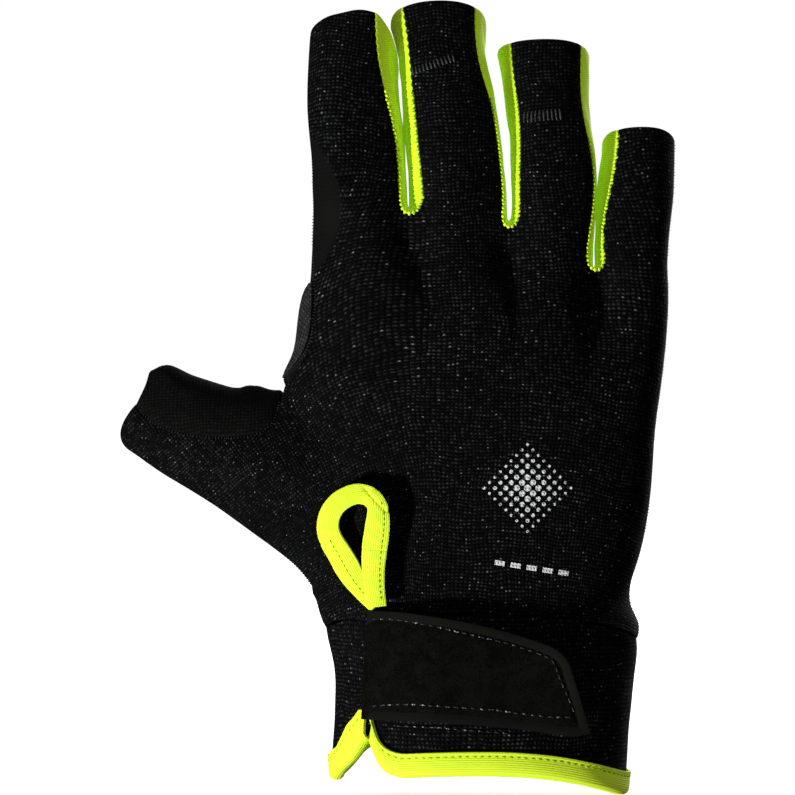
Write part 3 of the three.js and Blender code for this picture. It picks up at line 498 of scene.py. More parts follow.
def knit_flow(u, v):
    """Where a point of the pattern, in mm, comes to lie once the rows are bent."""
    low = min(1, max(0, (150 - v) / 60))
    left = min(0, u + 14)
    right = max(0, u - 8)
    ease = 1 - math.exp(left / THUMB_EASE)
    turned = THUMB_TURN * (left + THUMB_EASE * ease)
    if right < SIDE_EASE:
        fall = -SIDE_FALL * right ** 2 / (2 * SIDE_EASE)
    else:
        fall = -SIDE_FALL * (right - SIDE_EASE / 2)
    slope = THUMB_TURN * ease if left < 0 else -SIDE_FALL * min(1, right / SIDE_EASE)
    return (u + low * slope * (v - 80), v - low * (turned + fall))


move_pattern(back, knit_flow)


def wrap_pattern(piece, middle, half_width, half_depth):
    """A pattern that runs round the wrist, in mm, and up along it."""
    steps = 360
    lengths = [0.0]
    for step in range(steps):
        start, end = (2 * math.pi * (step + part) / steps for part in (0, 1))
        lengths.append(lengths[-1] + math.hypot(half_width * (math.cos(end) - math.cos(start)),
                                                half_depth * (math.sin(end) - math.sin(start))))
    whole = round(lengths[-1] / MM) * MM

    def girth(turn):
        share = turn / (2 * math.pi)
        place = (share % 1) * steps
        below = int(place)
        part = lengths[below] + (lengths[min(below + 1, steps)] - lengths[below]) * (place - below)
        return (math.floor(share) + part / lengths[-1]) * whole / MM

    def turn_of(place):
        return math.atan2(-place.x + middle, place.y * half_width / half_depth)

    mesh = piece.data
    flat = start_map(piece)
    for polygon in mesh.polygons:
        base = turn_of(polygon.center)
        for loop in polygon.loop_indices:
            place = mesh.vertices[mesh.loops[loop].vertex_index].co
            turn = turn_of(place)
            turn += 2 * math.pi * round((base - turn) / (2 * math.pi))
            flat[loop].uv = (-girth(turn), place.z / MM)


wrap_pattern(cuff, 0.5 * MM, 37 * MM, 22 * MM)

for piece in (back, palm, gusset, cuff, patch):
    soften(piece)
for piece in walls + [strap]:
    soften(piece, 3)


# Folds of the lime walls between the fingers

def fold_wall(piece, seed):
    """Long shallow folds that run up the wall, deepest half way up."""
    border = tree_of(edge_places(piece))
    low, high = heights_of(piece)

    def fold(place):
        fade = min(1, border.find(place)[2] / (3 * MM))
        up = (place.z - low) / (high - low)
        wave = noise.noise(Vector((place.y / (3.2 * MM) + seed, place.z / (17 * MM), seed * 2.7)))
        ridge = noise.noise(Vector((place.y / (1.6 * MM), place.z / (7 * MM), seed * 1.3 + 5)))
        return fade * (0.9 * wave + 0.3 * ridge) * MM * (0.3 + 0.7 * math.sin(math.pi * up))

    push_out(piece, fold)


for number, wall in enumerate(walls):
    fold_wall(wall, 3.7 * (number + 1))


# Shaping, where cloth is drawn in, turned under or sewn down

# Rise of the cuff's lower edge, its middle and its half width in mm, on the back and on the palm side
BACK_RISE = (3.0, -28.5, 2.4)
PALM_RISE = (6.0, -28, 6)


def draw_hem(piece):
    """Draws the cuff's lower edge up at the slit, and more softly on the palm side behind it."""
    for vertex in piece.data.vertices:
        place = vertex.co / MM
        fade = min(1, max(0, (22 - place.z) / 14))
        rise, middle, width = BACK_RISE if place.y < 0 else PALM_RISE
        vertex.co.z += rise * MM * fade * math.exp(-((place.x - middle) / width) ** 2)


def press_rim(piece, depth, reach):
    """Rounds a sheet off towards its edge, where it is sewn down."""
    border = tree_of(edge_places(piece))
    push_out(piece, lambda place: -depth * max(0, 1 - border.find(place)[2] / reach) ** 2)


def dent(piece, px, py, depth, reach):
    """A dimple in the back of the hand, at a measured point."""
    x, z = at(px, py)
    for vertex in piece.data.vertices:
        distance = math.hypot(vertex.co.x - x, vertex.co.z - z)
        if vertex.co.y < 0 and distance < reach:
            vertex.co.y += depth * (1 - distance / reach) ** 2


def mark_edge(piece, border):
    """A second map, whose first number is the distance from some edge points, in mm."""
    distances = [border.find(vertex.co)[2] / MM for vertex in piece.data.vertices]
    layer = piece.data.uv_layers.new(name="edge")
    for loop in piece.data.loops:
        layer.data[loop.index].uv = (distances[loop.vertex_index], 0)


def press_stitch_line(piece, border, inset, depth, width):
    """A shallow channel at a distance from the edge, where a seam pulls the material down."""
    push_out(piece, lambda place: -depth * math.exp(-((border.find(place)[2] / MM - inset) / width) ** 2))


CUFF_EDGE_TOP = 9 * MM
SLIT_TOP = 37.5 * MM
SLIT_REACH = 2.5 * MM


def cuff_edge():
    """The cuff's lower edge from the right side of the slit round to its left side, as vertex indices."""
    mesh = bmesh.new()
    mesh.from_mesh(cuff.data)
    chain = {}
    for edge in mesh.edges:
        start, end = edge.verts
        if not edge.is_boundary or max(start.co.z, end.co.z) > CUFF_EDGE_TOP:
            continue
        if abs(start.co.z - end.co.z) > 0.97 * (start.co - end.co).length:
            continue
        for vertex, other in ((start, end), (end, start)):
            chain.setdefault(vertex.index, []).append(other.index)
    places = {vertex.index: vertex.co.copy() for vertex in mesh.verts}
    mesh.free()
    ends = [index for index, near in chain.items() if len(near) == 1]
    order, previous = [max(ends, key=lambda index: places[index].x)], None
    while True:
        following = [index for index in chain[order[-1]] if index != previous]
        if not following:
            return order
        previous = order[-1]
        order.append(following[0])


def close_slit():
    """Brings the two sides of the cuff's slit together, above the part that the strap leaves in sight."""
    vertices = cuff.data.vertices
    edge = [index for index in edge_points(cuff) if CUFF_EDGE_TOP < vertices[index].co.z < SLIT_TOP]
    sides = tree_of([vertices[index].co.copy() for index in edge])
    moves = []
    for number, index in enumerate(edge):
        place = vertices[index].co
        near = [found for found, other, distance in sides.find_n(place, 6)
                if distance < SLIT_REACH and other != number
                and abs(found.x - place.x) > abs(found.z - place.z)]
        if near:
            moves.append((index, place.lerp(near[0], 0.48)))
    for index, place in moves:
        vertices[index].co = place


edge_order = cuff_edge()
close_slit()
draw_hem(cuff)
# Dimples below the gaps beside the ring finger: measured point, depth and reach
for px, py, depth, reach in ((514, 229, 0.5 * MM, 3.5 * MM), (597, 281, 0.5 * MM, 4 * MM)):
    dent(back, px, py, depth, reach)
press_rim(patch, 0.9 * MM, 3.5 * MM)

# The strap's seam runs at this distance in mm from its edge, though not along the left end
STRAP_SEAM = 2.2


def border_but_left(piece):
    """A tree of the places on a sheet's edge, without the middle of its left end."""
    left = min(vertex.co.x for vertex in piece.data.vertices)
    low, high = heights_of(piece)
    return tree_of([place for place in edge_places(piece)
                    if place.x > left + 3 * MM or not low + 2.5 * MM < place.z < high - 1.2 * MM])


strap_border = border_but_left(strap)
mark_edge(strap, strap_border)
press_stitch_line(strap, strap_border, STRAP_SEAM, 0.35 * MM, 0.55)

crumple(back, 0.5 * MM, 17 * MM, 1)
crumple(palm, 0.8 * MM, 15 * MM, 2)
crumple(gusset, 0.6 * MM, 9 * MM, 3)
crumple(cuff, 0.5 * MM, 12 * MM, 4)

sew([back, palm, gusset, cuff] + walls, 0.5 * MM, 1.6 * MM)
for piece in [back, palm, gusset, cuff, patch, strap] + walls:
    remember_area(piece)


# What lies on the back is placed on the finished cloth

def feel(*pieces):
    """A tree of the pieces' faces, to find their surface with."""
    places, faces = [], []
    for piece in pieces:
        start = len(places)
        places += [vertex.co.copy() for vertex in piece.data.vertices]
        faces += [[start + index for index in polygon.vertices] for polygon in piece.data.polygons]
    return BVHTree.FromPolygons(places, faces)


skin = feel(back, cuff)


def touch(tree, x, z):
    """Where a line from the camera's side first meets the surface."""
    return tree.ray_cast(Vector((x, -0.2, z)), Vector((0, 1, 0)))[0]


def smooth_line(points, count):
    """A smooth curve through points, as evenly spaced places."""
    points = [Vector(point) for point in points]
    ends = [2 * points[0] - points[1]] + points + [2 * points[-1] - points[-2]]
    fine = []
    for number in range(1, len(ends) - 2):
        before, start, end, after = ends[number - 1:number + 3]
        square = 2 * before - 5 * start + 4 * end - after
        cube = 3 * start - 3 * end + after - before
        for step in range(24):
            t = step / 24
            fine.append(0.5 * (2 * start + (end - before) * t + square * t ** 2 + cube * t ** 3))
    fine.append(points[-1])
    return spaced(fine, count)


def spaced(line, count):
    """Evenly spaced places along a line of places."""
    lengths = [0.0]
    for start, end in zip(line, line[1:]):
        lengths.append(lengths[-1] + (end - start).length)
    places, number = [], 0
    for step in range(count):
        goal = lengths[-1] * step / (count - 1)
        while number < len(lengths) - 2 and lengths[number + 1] < goal:
            number += 1
        share = (goal - lengths[number]) / max(1e-9, lengths[number + 1] - lengths[number])
        places.append(line[number].lerp(line[number + 1], share))
    return places


def line_length(line):
    return sum((end - start).length for start, end in zip(line, line[1:]))


def bend_grid(name, columns, rows, place, length, width):
    """A flat grid, bent so that each point lies where place(along, across) says. Its map is in mm."""
    bpy.ops.mesh.primitive_grid_add(x_subdivisions=columns, y_subdivisions=rows, size=2)
    piece = bpy.context.object
    piece.name = name
    mesh = piece.data
    shares = [((vertex.co.x + 1) / 2, (vertex.co.y + 1) / 2) for vertex in mesh.vertices]
    for vertex, share in zip(mesh.vertices, shares):
        vertex.co = place(*share)
    flat = start_map(piece)
    for loop in mesh.loops:
        along, across = shares[loop.vertex_index]
        flat[loop.index].uv = (along * length / MM, across * width / MM)
    remember_area(piece)
    return piece


# Pull loop: folded tape, in two lengths that overlap at the top right and at the foot

LOOP_WIDTH = 5.6 * MM
LOOP_WALL = 1.0 * MM
TAPE_FEEL = 1.2 * MM
CREASE_ENDS = ((366, 488), (386, 510))
CREASE_DEPTH = 0.75 * MM
CREASE_WIDTH = 0.34 * MM


def crease_at(place):
    """Depth of the crease across the loop's top right, where the two lengths of tape cross."""
    start, end = (Vector(at(px, py)) for px, py in CREASE_ENDS)
    share = min(1, max(0, (place - start).dot(end - start) / (end - start).length_squared))
    off = (place - start.lerp(end, share)).length
    return CREASE_DEPTH * math.exp(-(off / CREASE_WIDTH) ** 2)


def tape_band(name, line, widths, heights, bow):
    """A flat tape along a line on the back, with widths and heights over the cloth in mm along the line.
    Also gives the rule that places a point of it."""
    count = 120
    middle = smooth_line([(*at(px, py), 0) for px, py in line], count)
    middle = [Vector((place.x, 0, place.y)) for place in middle]
    length = line_length(middle)
    sides = []
    for number, place in enumerate(middle):
        ahead = middle[min(number + 1, count - 1)] - middle[max(number - 1, 0)]
        sides.append(Vector((-ahead.z, 0, ahead.x)).normalized())

    def share_of(values, along):
        place = along * (len(values) - 1)
        below = min(int(place), len(values) - 2)
        return values[below] + (values[below + 1] - values[below]) * (place - below)

    def place(along, across):
        number = min(int(round(along * (count - 1))), count - 1)
        width = share_of(widths, along) * MM
        spot = middle[number] + sides[number] * (across - 0.5) * width
        floor = min(touch(skin, spot.x + dx * TAPE_FEEL, spot.z + dz * TAPE_FEEL).y
                    for dx, dz in ((0, 0), (1, 0), (-1, 0), (0, 1)))
        crown = bow * MM * (1 - (2 * across - 1) ** 2)
        spot.y = floor - share_of(heights, along) * MM - crown
        spot.y += crease_at(Vector((spot.x, spot.z)))
        return spot

    piece = bend_grid(name, count, 16, place, length, LOOP_WIDTH)
    face_outwards(piece, lambda place: Vector((0, -1, 0)))
    return piece, place


loop_left, left_place = tape_band(
    "pull_loop_left",
    [(377, 604), (367, 592), (354.5, 575), (342.5, 554), (333, 538), (329.5, 525), (332.5, 511),
     (342, 499.5), (356, 493), (368, 494), (376, 500)],
    [3.0, 4.2, 5.2, 5.9, 5.6, 5.3, 5.1, 4.9, 4.7, 4.6, 4.4],
    [1.2, 1.3, 1.5, 1.8, 2.1, 2.5, 2.9, 3.2, 3.3, 3.1, 2.8], 0.25)
loop_right, right_place = tape_band(
    "pull_loop_right",
    [(369.5, 492.5), (376, 499), (379, 510), (378, 528), (375.5, 548), (374.5, 568), (376, 588), (378, 604)],
    [3.2, 4.6, 5.6, 5.9, 5.6, 5.0, 4.4, 4.2],
    [4.2, 4.2, 4.0, 3.6, 3.2, 2.9, 2.6, 2.3], 0.3)


# Lime tape folded over the cuff's lower edge

edge_vertices = [cuff.data.vertices[index] for index in edge_order]
edge_line = [(vertex.co.copy(), vertex.normal.copy()) for vertex in edge_vertices]


def stations(line, count):
    """Evenly spaced places along a line of places with directions, and the direction at each."""
    both = [Vector((*place, *(direction * 0.001 * MM))) for place, direction in line]
    found = spaced(both, count)
    return [(Vector(item[:3]), Vector(item[3:]).normalized()) for item in found]


TAPE_STATIONS = 220
TAPE_RISE = 4.4 * MM
TAPE_WALL = 0.85 * MM
SLIT_RISE = 5.6 * MM
FLAP_RISE = 7.8 * MM
FLAP_LENGTH = 13


def tape_rise(share, length):
    """Height of the tape above the cuff's edge: more at the slit, and where it runs steeply on the left
    flap."""
    from_left = (1 - share) * length / MM
    from_right = share * length / MM
    if from_left < FLAP_LENGTH:
        flap = min(1, from_left / 3) * min(1, (FLAP_LENGTH - from_left) / 5)
        slit = max(0, 1 - from_left / 3)
        return TAPE_RISE + (FLAP_RISE - TAPE_RISE) * flap + (SLIT_RISE - TAPE_RISE) * slit
    return TAPE_RISE + (SLIT_RISE - TAPE_RISE) * max(0, 1 - from_right / 5)


def fold_tape(name, line, inside, outside, tip):
    """Tape folded over an edge: up the inside, round below the edge and up the outside. Also gives the line
    along which it is stitched."""
    middle = stations(line, TAPE_STATIONS)
    length = line_length([place for place, _ in middle])
    # The tape's section from its inner edge to its outer one: distance from the cuff's outer side, share of
    # the tape's rise, and share of the tip below the edge
    around = [(-inside, 1.0, 0), (-inside, 0.6, 0), (-inside, 0.25, 0), (-inside, 0, -0.2)]
    around += [((outside - inside) / 2 + (outside + inside) / 2 * math.sin(math.radians(turn)), 0,
                -0.2 - 0.8 * math.cos(math.radians(turn))) for turn in (-60, -30, 0, 30, 60)]
    around += [(outside, 0, -0.2), (outside, 0.2, 0), (outside, 0.4, 0), (outside - 0.1 * MM, 0.6, 0),
               (outside - 0.22 * MM, 0.72, 0), (outside - 0.1 * MM, 0.84, 0), (outside, 1.0, 0)]
    widths = [0.0]
    for start, end in zip(around, around[1:]):
        widths.append(widths[-1] + math.dist((start[0], start[1] * TAPE_RISE + start[2] * tip),
                                             (end[0], end[1] * TAPE_RISE + end[2] * tip)))

    def spot(number, step):
        edge, out = middle[number]
        up = (Vector((0, 0, 1)) - out * out.z).normalized()
        away, rise, drop = around[step]
        return edge + out * away + up * (rise * tape_rise(number / (TAPE_STATIONS - 1), length) + drop * tip)

    def place(along, across):
        return spot(int(round(along * (TAPE_STATIONS - 1))), int(round(across * (len(around) - 1))))

    piece = bend_grid(name, TAPE_STATIONS - 1, len(around) - 1, place, length, widths[-1])
    flat = piece.data.uv_layers["cloth"].data
    for loop in flat:
        step = int(round(loop.uv.y / (widths[-1] / MM) * (len(around) - 1)))
        loop.uv.y = widths[min(step, len(widths) - 1)] / MM
    seam = [spot(number, len(around) - 3) + middle[number][1] * TAPE_WALL for number in range(TAPE_STATIONS)]
    return piece, seam


binding, binding_seam = fold_tape("binding_tape", edge_line, CUFF_WALL + 0.3 * MM, 0.35 * MM, 0.9 * MM)


# Stitching

# Steps along one stitch: share of its length, rise in threads, and how much it grows thicker
STITCH_STEPS = ((0.12, 0.45, 1.5), (0.2, 0.28, 1.12), (0.36, 0, 1.0), (0.2, -0.28, 0.9), (0.12, -0.45, 0.66))


def make_stitch(length, thread):
    """One stitch: a short length of thread that comes out of the cloth, lies on it and goes back in."""
    bpy.ops.mesh.primitive_circle_add(vertices=6, radius=thread / 2, fill_type="NGON",
                                      rotation=(0, math.radians(90), 0))
    piece = bpy.context.object
    bpy.ops.object.transform_apply(location=False, rotation=True, scale=False)
    bpy.ops.object.mode_set(mode="EDIT")
    bpy.ops.mesh.select_all(action="SELECT")
    bpy.ops.transform.resize(value=(1, 0.6, 0.6))
    bpy.ops.transform.translate(value=(-length / 2, 0, -0.45 * thread))
    for share, rise, grow in STITCH_STEPS:
        step = (share * length, 0, rise * thread)
        bpy.ops.mesh.extrude_region_move(TRANSFORM_OT_translate={"value": step})
        bpy.ops.transform.resize(value=(1, grow, grow))
    bpy.ops.mesh.select_all(action="SELECT")
    bpy.ops.mesh.normals_make_consistent(inside=False)
    bpy.ops.object.mode_set(mode="OBJECT")
    bpy.ops.object.shade_smooth()
    return piece


def sew_row(name, line, surface, pitch, length, thread, turn):
    """Copies of one stitch, spaced along a line on a surface, each turned by an angle from the line. Pitch,
    length and thread are in mm."""
    count = max(2, round(line_length(line) / (pitch * MM)))
    ends = spaced(line, count + 1)
    first = make_stitch(length * MM, thread * MM)
    copies = []
    for start, end in zip(ends, ends[1:]):
        place, out, _, _ = surface.find_nearest((start + end) / 2)
        along = (end - start).normalized()
        across = out.cross(along).normalized()
        along = across.cross(out)
        turned = along * math.cos(turn) + across * math.sin(turn)
        across = out.cross(turned)
        pose = Matrix((turned, across, out)).transposed().to_4x4()
        pose.translation = place
        copy = bpy.data.objects.new(name, first.data.copy())
        copy.data.transform(pose)
        bpy.context.scene.collection.objects.link(copy)
        copies.append(copy)
    bpy.data.objects.remove(first)
    deselect()
    for copy in copies:
        copy.select_set(True)
    bpy.context.view_layer.objects.active = copies[0]
    bpy.ops.object.join()
    row = bpy.context.object
    row.name = name
    return row


def trace(surface, points):
    """A smooth line of places on a surface, through measured points."""
    flat = smooth_line([(*at(px, py), 0) for px, py in points], 120)
    return [touch(surface, place.x, place.y) for place in flat]


def shared_seam(piece, other, reach):
    """The stretch of a sheet's open edge that lies against another piece, as a line of places."""
    mesh = bmesh.new()
    mesh.from_mesh(other.data)
    border = [[vertex.co.copy() for vertex in edge.verts] for edge in mesh.edges if edge.is_boundary]
    beside = tree_of([start.lerp(end, part / 4) for start, end in border for part in range(4)])
    mesh.clear()
    mesh.from_mesh(piece.data)
    chain = {}
    for edge in mesh.edges:
        if edge.is_boundary and all(beside.find(vertex.co)[2] < reach for vertex in edge.verts):
            for vertex, far in (edge.verts, reversed(edge.verts)):
                chain.setdefault(vertex.index, []).append(far.index)
    places = {vertex.index: vertex.co.copy() for vertex in mesh.verts}
    mesh.free()
    lines = []
    left = set(chain)
    while left:
        start = next((index for index in sorted(left) if len(chain[index]) == 1), min(left))
        order = [start]
        left.discard(start)
        while True:
            following = [index for index in chain[order[-1]] if index in left]
            if not following:
                break
            order.append(following[0])
            left.discard(following[0])
        lines.append([places[index] for index in order])
    return [line for line in lines if line_length(line) > 8 * MM]


# Materials

def linear(code):
    """Linear colour of an sRGB hex value."""
    parts = [int(code[start:start + 2], 16) / 255 for start in (1, 3, 5)]
    return [part / 12.92 if part <= 0.04045 else ((part + 0.055) / 1.055) ** 2.4 for part in parts] + [1]


def add(tree, kind, sockets=None, **settings):
    """Adds a node. A socket takes a number, a colour, an output, or a node, whose first output is meant."""
    item = tree.nodes.new("ShaderNode" + kind)
    for name, value in settings.items():
        setattr(item, name, value)
    for key, value in (sockets or {}).items():
        if isinstance(value, bpy.types.Node):
            value = value.outputs[0]
        if isinstance(value, bpy.types.NodeSocket):
            tree.links.new(value, item.inputs[key])
        else:
            item.inputs[key].default_value = value
    return item


def start_material(name):
    material = bpy.data.materials.new(name)
    material.use_nodes = True
    tree = material.node_tree
    tree.nodes.clear()
    shader = add(tree, "BsdfPrincipled")
    add(tree, "OutputMaterial", {"Surface": shader})
    return material, tree, shader


def coat(tree, shader, colour, relief, values):
    """Ends a material: its colour, its relief as strength, distance and height, and the shader's values."""
    bump = add(tree, "Bump", dict(zip(("Strength", "Distance", "Height"), relief)))
    tree.links.new(colour, shader.inputs["Base Color"])
    tree.links.new(bump.outputs[0], shader.inputs["Normal"])
    for name, value in values.items():
        shader.inputs[name].default_value = value


def blend(tree, share, first, second):
    """A colour between two, each of them a hex value or another node's colour."""
    item = add(tree, "Mix", {0: share}, data_type="RGBA")
    for key, value in ((6, first), (7, second)):
        if isinstance(value, str):
            item.inputs[key].default_value = linear(value)
        else:
            tree.links.new(value, item.inputs[key])
    return item.outputs[2]


def stitch_grid(tree, wale, course, lean):
    """Relief of a plain knit: rows of stitches, `wale` wide and `course` high in mm. Gives the height, from
    0 in the gaps to 1 on the yarn, and a number that is drawn once for each stitch."""
    cloth = add(tree, "UVMap", uv_map="cloth")
    sway = add(tree, "TexNoise", {"Vector": cloth, "Scale": 0.11, "Detail": 1.0})
    shift = add(tree, "VectorMath", {0: sway.outputs["Color"], 1: (0.5, 0.5, 0.5)}, operation="SUBTRACT")
    moved = add(tree, "VectorMath", {0: shift, 1: (2.4, 2.4, 0), 2: cloth}, operation="MULTIPLY_ADD")
    axes = add(tree, "SeparateXYZ", {0: moved})
    across = add(tree, "Math", {0: axes.outputs["X"], 1: wale}, operation="DIVIDE")
    up = add(tree, "Math", {0: axes.outputs["Y"], 1: course}, operation="DIVIDE")
    side = add(tree, "Math", {0: across, 1: 0.5}, operation="PINGPONG")
    row = add(tree, "Math", {0: side, 1: -lean, 2: up}, operation="MULTIPLY_ADD")
    crest = add(tree, "Math", {0: row, 1: 0.5}, operation="PINGPONG")
    yarn = add(tree, "MapRange", {"Value": crest, "From Min": 0.10, "From Max": 0.46})
    loop = add(tree, "MapRange", {"Value": side, "From Min": 0.06, "From Max": 0.42, "To Min": 0.06})
    height = add(tree, "Math", {0: yarn, 1: loop}, operation="MULTIPLY")
    column = add(tree, "Math", {0: across}, operation="FLOOR")
    level = add(tree, "Math", {0: row}, operation="FLOOR")
    cell = add(tree, "CombineXYZ", {"X": column, "Y": level})
    chance = add(tree, "TexWhiteNoise", {"Vector": cell}, noise_dimensions="2D")
    return height, chance.outputs["Value"]


# The print on the back of the hand: middle of the lozenge and of the row of dashes in metres, and the other
# lengths in mm
PRINT_MIDDLE = (0.01125, 0.07075)
PRINT_PITCH = 1.9
PRINT_REACH = 8.2
DOT_LARGEST = 0.86
DOT_SMALLEST = 0.30
DOT_BLUR = 0.05
DASH_MIDDLE = (0.01225, 0.0510)
DASH_TILT = -9
DASH_PITCH = 4.0
DASH_HALF = 1.25
DASH_HALF_HEIGHT = 0.6


def turned_place(tree, place, middle, degrees):
    """Place in mm from a middle, turned in the plane of the back."""
    centred = add(tree, "Mapping", {"Vector": place, "Location": (-middle[0], 0, -middle[1])})
    turned = add(tree, "Mapping", {"Vector": centred, "Rotation": (0, math.radians(degrees), 0),
                                   "Scale": (1000, 1000, 1000)})
    return add(tree, "SeparateXYZ", {0: turned})


def printed_marks(tree, place):
    """Mask of the white print: a lozenge of dots that grow smaller outwards, over a row of dashes."""
    axes = turned_place(tree, place, PRINT_MIDDLE, 45)
    near, far = [], []
    for axis in ("X", "Z"):
        near.append(add(tree, "Math", {0: axes.outputs[axis], 1: PRINT_PITCH / 2}, operation="PINGPONG"))
        past = add(tree, "Math", {0: axes.outputs[axis], 1: PRINT_PITCH / 2}, operation="ADD")
        cell = add(tree, "Math", {0: past, 1: PRINT_PITCH}, operation="SNAP")
        far.append(add(tree, "Math", {0: cell}, operation="ABSOLUTE"))
    offset = add(tree, "CombineXYZ", {"X": near[0], "Y": near[1]})
    radius = add(tree, "VectorMath", {0: offset}, operation="LENGTH")
    ring = add(tree, "Math", {0: far[0], 1: far[1]}, operation="MAXIMUM")
    size = add(tree, "MapRange", {"Value": ring, "From Max": PRINT_REACH, "To Min": DOT_LARGEST,
                                  "To Max": DOT_SMALLEST})
    inside = add(tree, "Math", {0: ring, 1: PRINT_REACH}, operation="LESS_THAN")
    over = add(tree, "Math", {0: size, 1: radius.outputs["Value"]}, operation="SUBTRACT")
    dot = add(tree, "MapRange", {"Value": over, "From Min": -DOT_BLUR, "From Max": DOT_BLUR})
    dots = add(tree, "Math", {0: dot, 1: inside}, operation="MULTIPLY")
    line = turned_place(tree, place, DASH_MIDDLE, DASH_TILT)
    along = add(tree, "Math", {0: line.outputs["X"], 1: DASH_PITCH / 2}, operation="PINGPONG")
    dash = add(tree, "Math", {0: along, 1: DASH_HALF}, operation="LESS_THAN")
    height = add(tree, "Math", {0: line.outputs["Z"]}, operation="ABSOLUTE")
    thin = add(tree, "Math", {0: height, 1: DASH_HALF_HEIGHT}, operation="LESS_THAN")
    reach = add(tree, "Math", {0: line.outputs["X"]}, operation="ABSOLUTE")
    short = add(tree, "Math", {0: reach, 1: 2.5 * DASH_PITCH}, operation="LESS_THAN")
    row = add(tree, "Math", {0: dash, 1: thin}, operation="MULTIPLY")
    dashes = add(tree, "Math", {0: row, 1: short}, operation="MULTIPLY")
    both = add(tree, "Math", {0: dots, 1: dashes}, operation="MAXIMUM")
    depth = add(tree, "SeparateXYZ", {0: place})
    facing = add(tree, "Math", {0: depth.outputs["Y"], 1: 0.0}, operation="LESS_THAN")
    return add(tree, "Math", {0: both, 1: facing}, operation="MULTIPLY")


# Where the palm's suede shows round the side of the index finger's root, painted darker than the palm's own
# suede as shade in the hollow there, in mm
SHADED_SIDE_MIDDLE = 140.5
SHADED_SIDE_HALF = 18.0
SHADED_SIDE_EDGE = -34.8
SHADED_SIDE_DEPTH = 8.0


def shaded_side_suede(tree, place):
    """Mask of the suede that wraps round to the back, with the painted shade of the hollow there, left of a
    curve like a shallow bay.
    """
    axes = add(tree, "SeparateXYZ", {0: place})
    across = add(tree, "Math", {0: axes.outputs["X"], 1: 1000.0, 2: -SHADED_SIDE_EDGE},
                 operation="MULTIPLY_ADD")
    up = add(tree, "Math", {0: axes.outputs["Z"], 1: 1000.0, 2: -SHADED_SIDE_MIDDLE},
             operation="MULTIPLY_ADD")
    off = add(tree, "Math", {0: up, 1: SHADED_SIDE_HALF}, operation="DIVIDE")
    square = add(tree, "Math", {0: off, 1: 2.0}, operation="POWER")
    bay = add(tree, "Math", {0: square, 1: SHADED_SIDE_DEPTH, 2: across}, operation="MULTIPLY_ADD")
    return add(tree, "MapRange", {"Value": bay, "From Min": -0.5, "From Max": 0.3,
                                            "To Min": 1.0, "To Max": 0.0})


def knit(name, wale, course, lean, relief, printed=False):
    """Machine-knitted polyester, matt black. The yarn's crests are painted lighter as painted highlights,
    each stitch a little differently, and a few get a painted glint, between gaps that stay black."""
    material, tree, shader = start_material(name)
    height, chance = stitch_grid(tree, wale, course, lean)
    place = add(tree, "TexCoord").outputs["Object"]
    fluff = add(tree, "TexNoise", {"Vector": place, "Scale": 3200.0, "Detail": 2.0})
    # Patches in which the painted highlights on the crests are stronger or weaker.
    highlight_patches = add(tree, "TexNoise", {"Vector": place, "Scale": 90.0, "Detail": 3.0})
    worn = add(tree, "MapRange", {"Value": highlight_patches, "From Min": 0.3, "From Max": 0.7,
                                            "To Min": 0.5, "To Max": 1.4})
    fibre = add(tree, "MapRange", {"Value": fluff, "From Min": 0.38, "From Max": 0.62,
                                             "To Min": 0.15, "To Max": 1.75})
    odds = add(tree, "Math", {0: chance, 1: 2.0}, operation="POWER")
    drawn = add(tree, "MapRange", {"Value": odds, "To Min": 0.10, "To Max": 1.0})
    lit = add(tree, "Math", {0: height, 1: drawn}, operation="MULTIPLY")
    mottled = add(tree, "Math", {0: lit, 1: worn}, operation="MULTIPLY")
    share = add(tree, "Math", {0: mottled, 1: fibre}, operation="MULTIPLY", use_clamp=True)
    # The crests are painted lighter, a painted highlight; the gaps stay black.
    colour = blend(tree, share, "#010101", "#393a3d")
    # Painted glints: a light grey spot on the crest of a few stitches.
    rare = add(tree, "Math", {0: chance, 1: 0.968}, operation="GREATER_THAN")
    tip = add(tree, "MapRange", {"Value": height, "From Min": 0.6, "From Max": 0.85})
    top = add(tree, "Math", {0: rare, 1: tip}, operation="MULTIPLY")
    colour = blend(tree, top, colour, "#828386")
    if printed:
        # The knit left of the bay is painted as suede, darker than the palm's suede for painted shade in the
        # hollow, and with less relief.
        plain = shaded_side_suede(tree, place)
        colour = blend(tree, plain, colour, blend(tree, fluff, "#030303", "#121211"))
        level = add(tree, "MapRange", {"Value": plain, "To Min": 1.0, "To Max": 0.15})
        height = add(tree, "Math", {0: height, 1: level}, operation="MULTIPLY")
        colour = blend(tree, printed_marks(tree, place), colour, "#d6d7d8")
    rough = add(tree, "Math", {0: fluff, 1: 0.35, 2: height}, operation="MULTIPLY_ADD")
    coat(tree, shader, colour, (0.9, relief * MM, rough), {"Roughness": 0.75, "Specular IOR Level": 0.04})
    return material


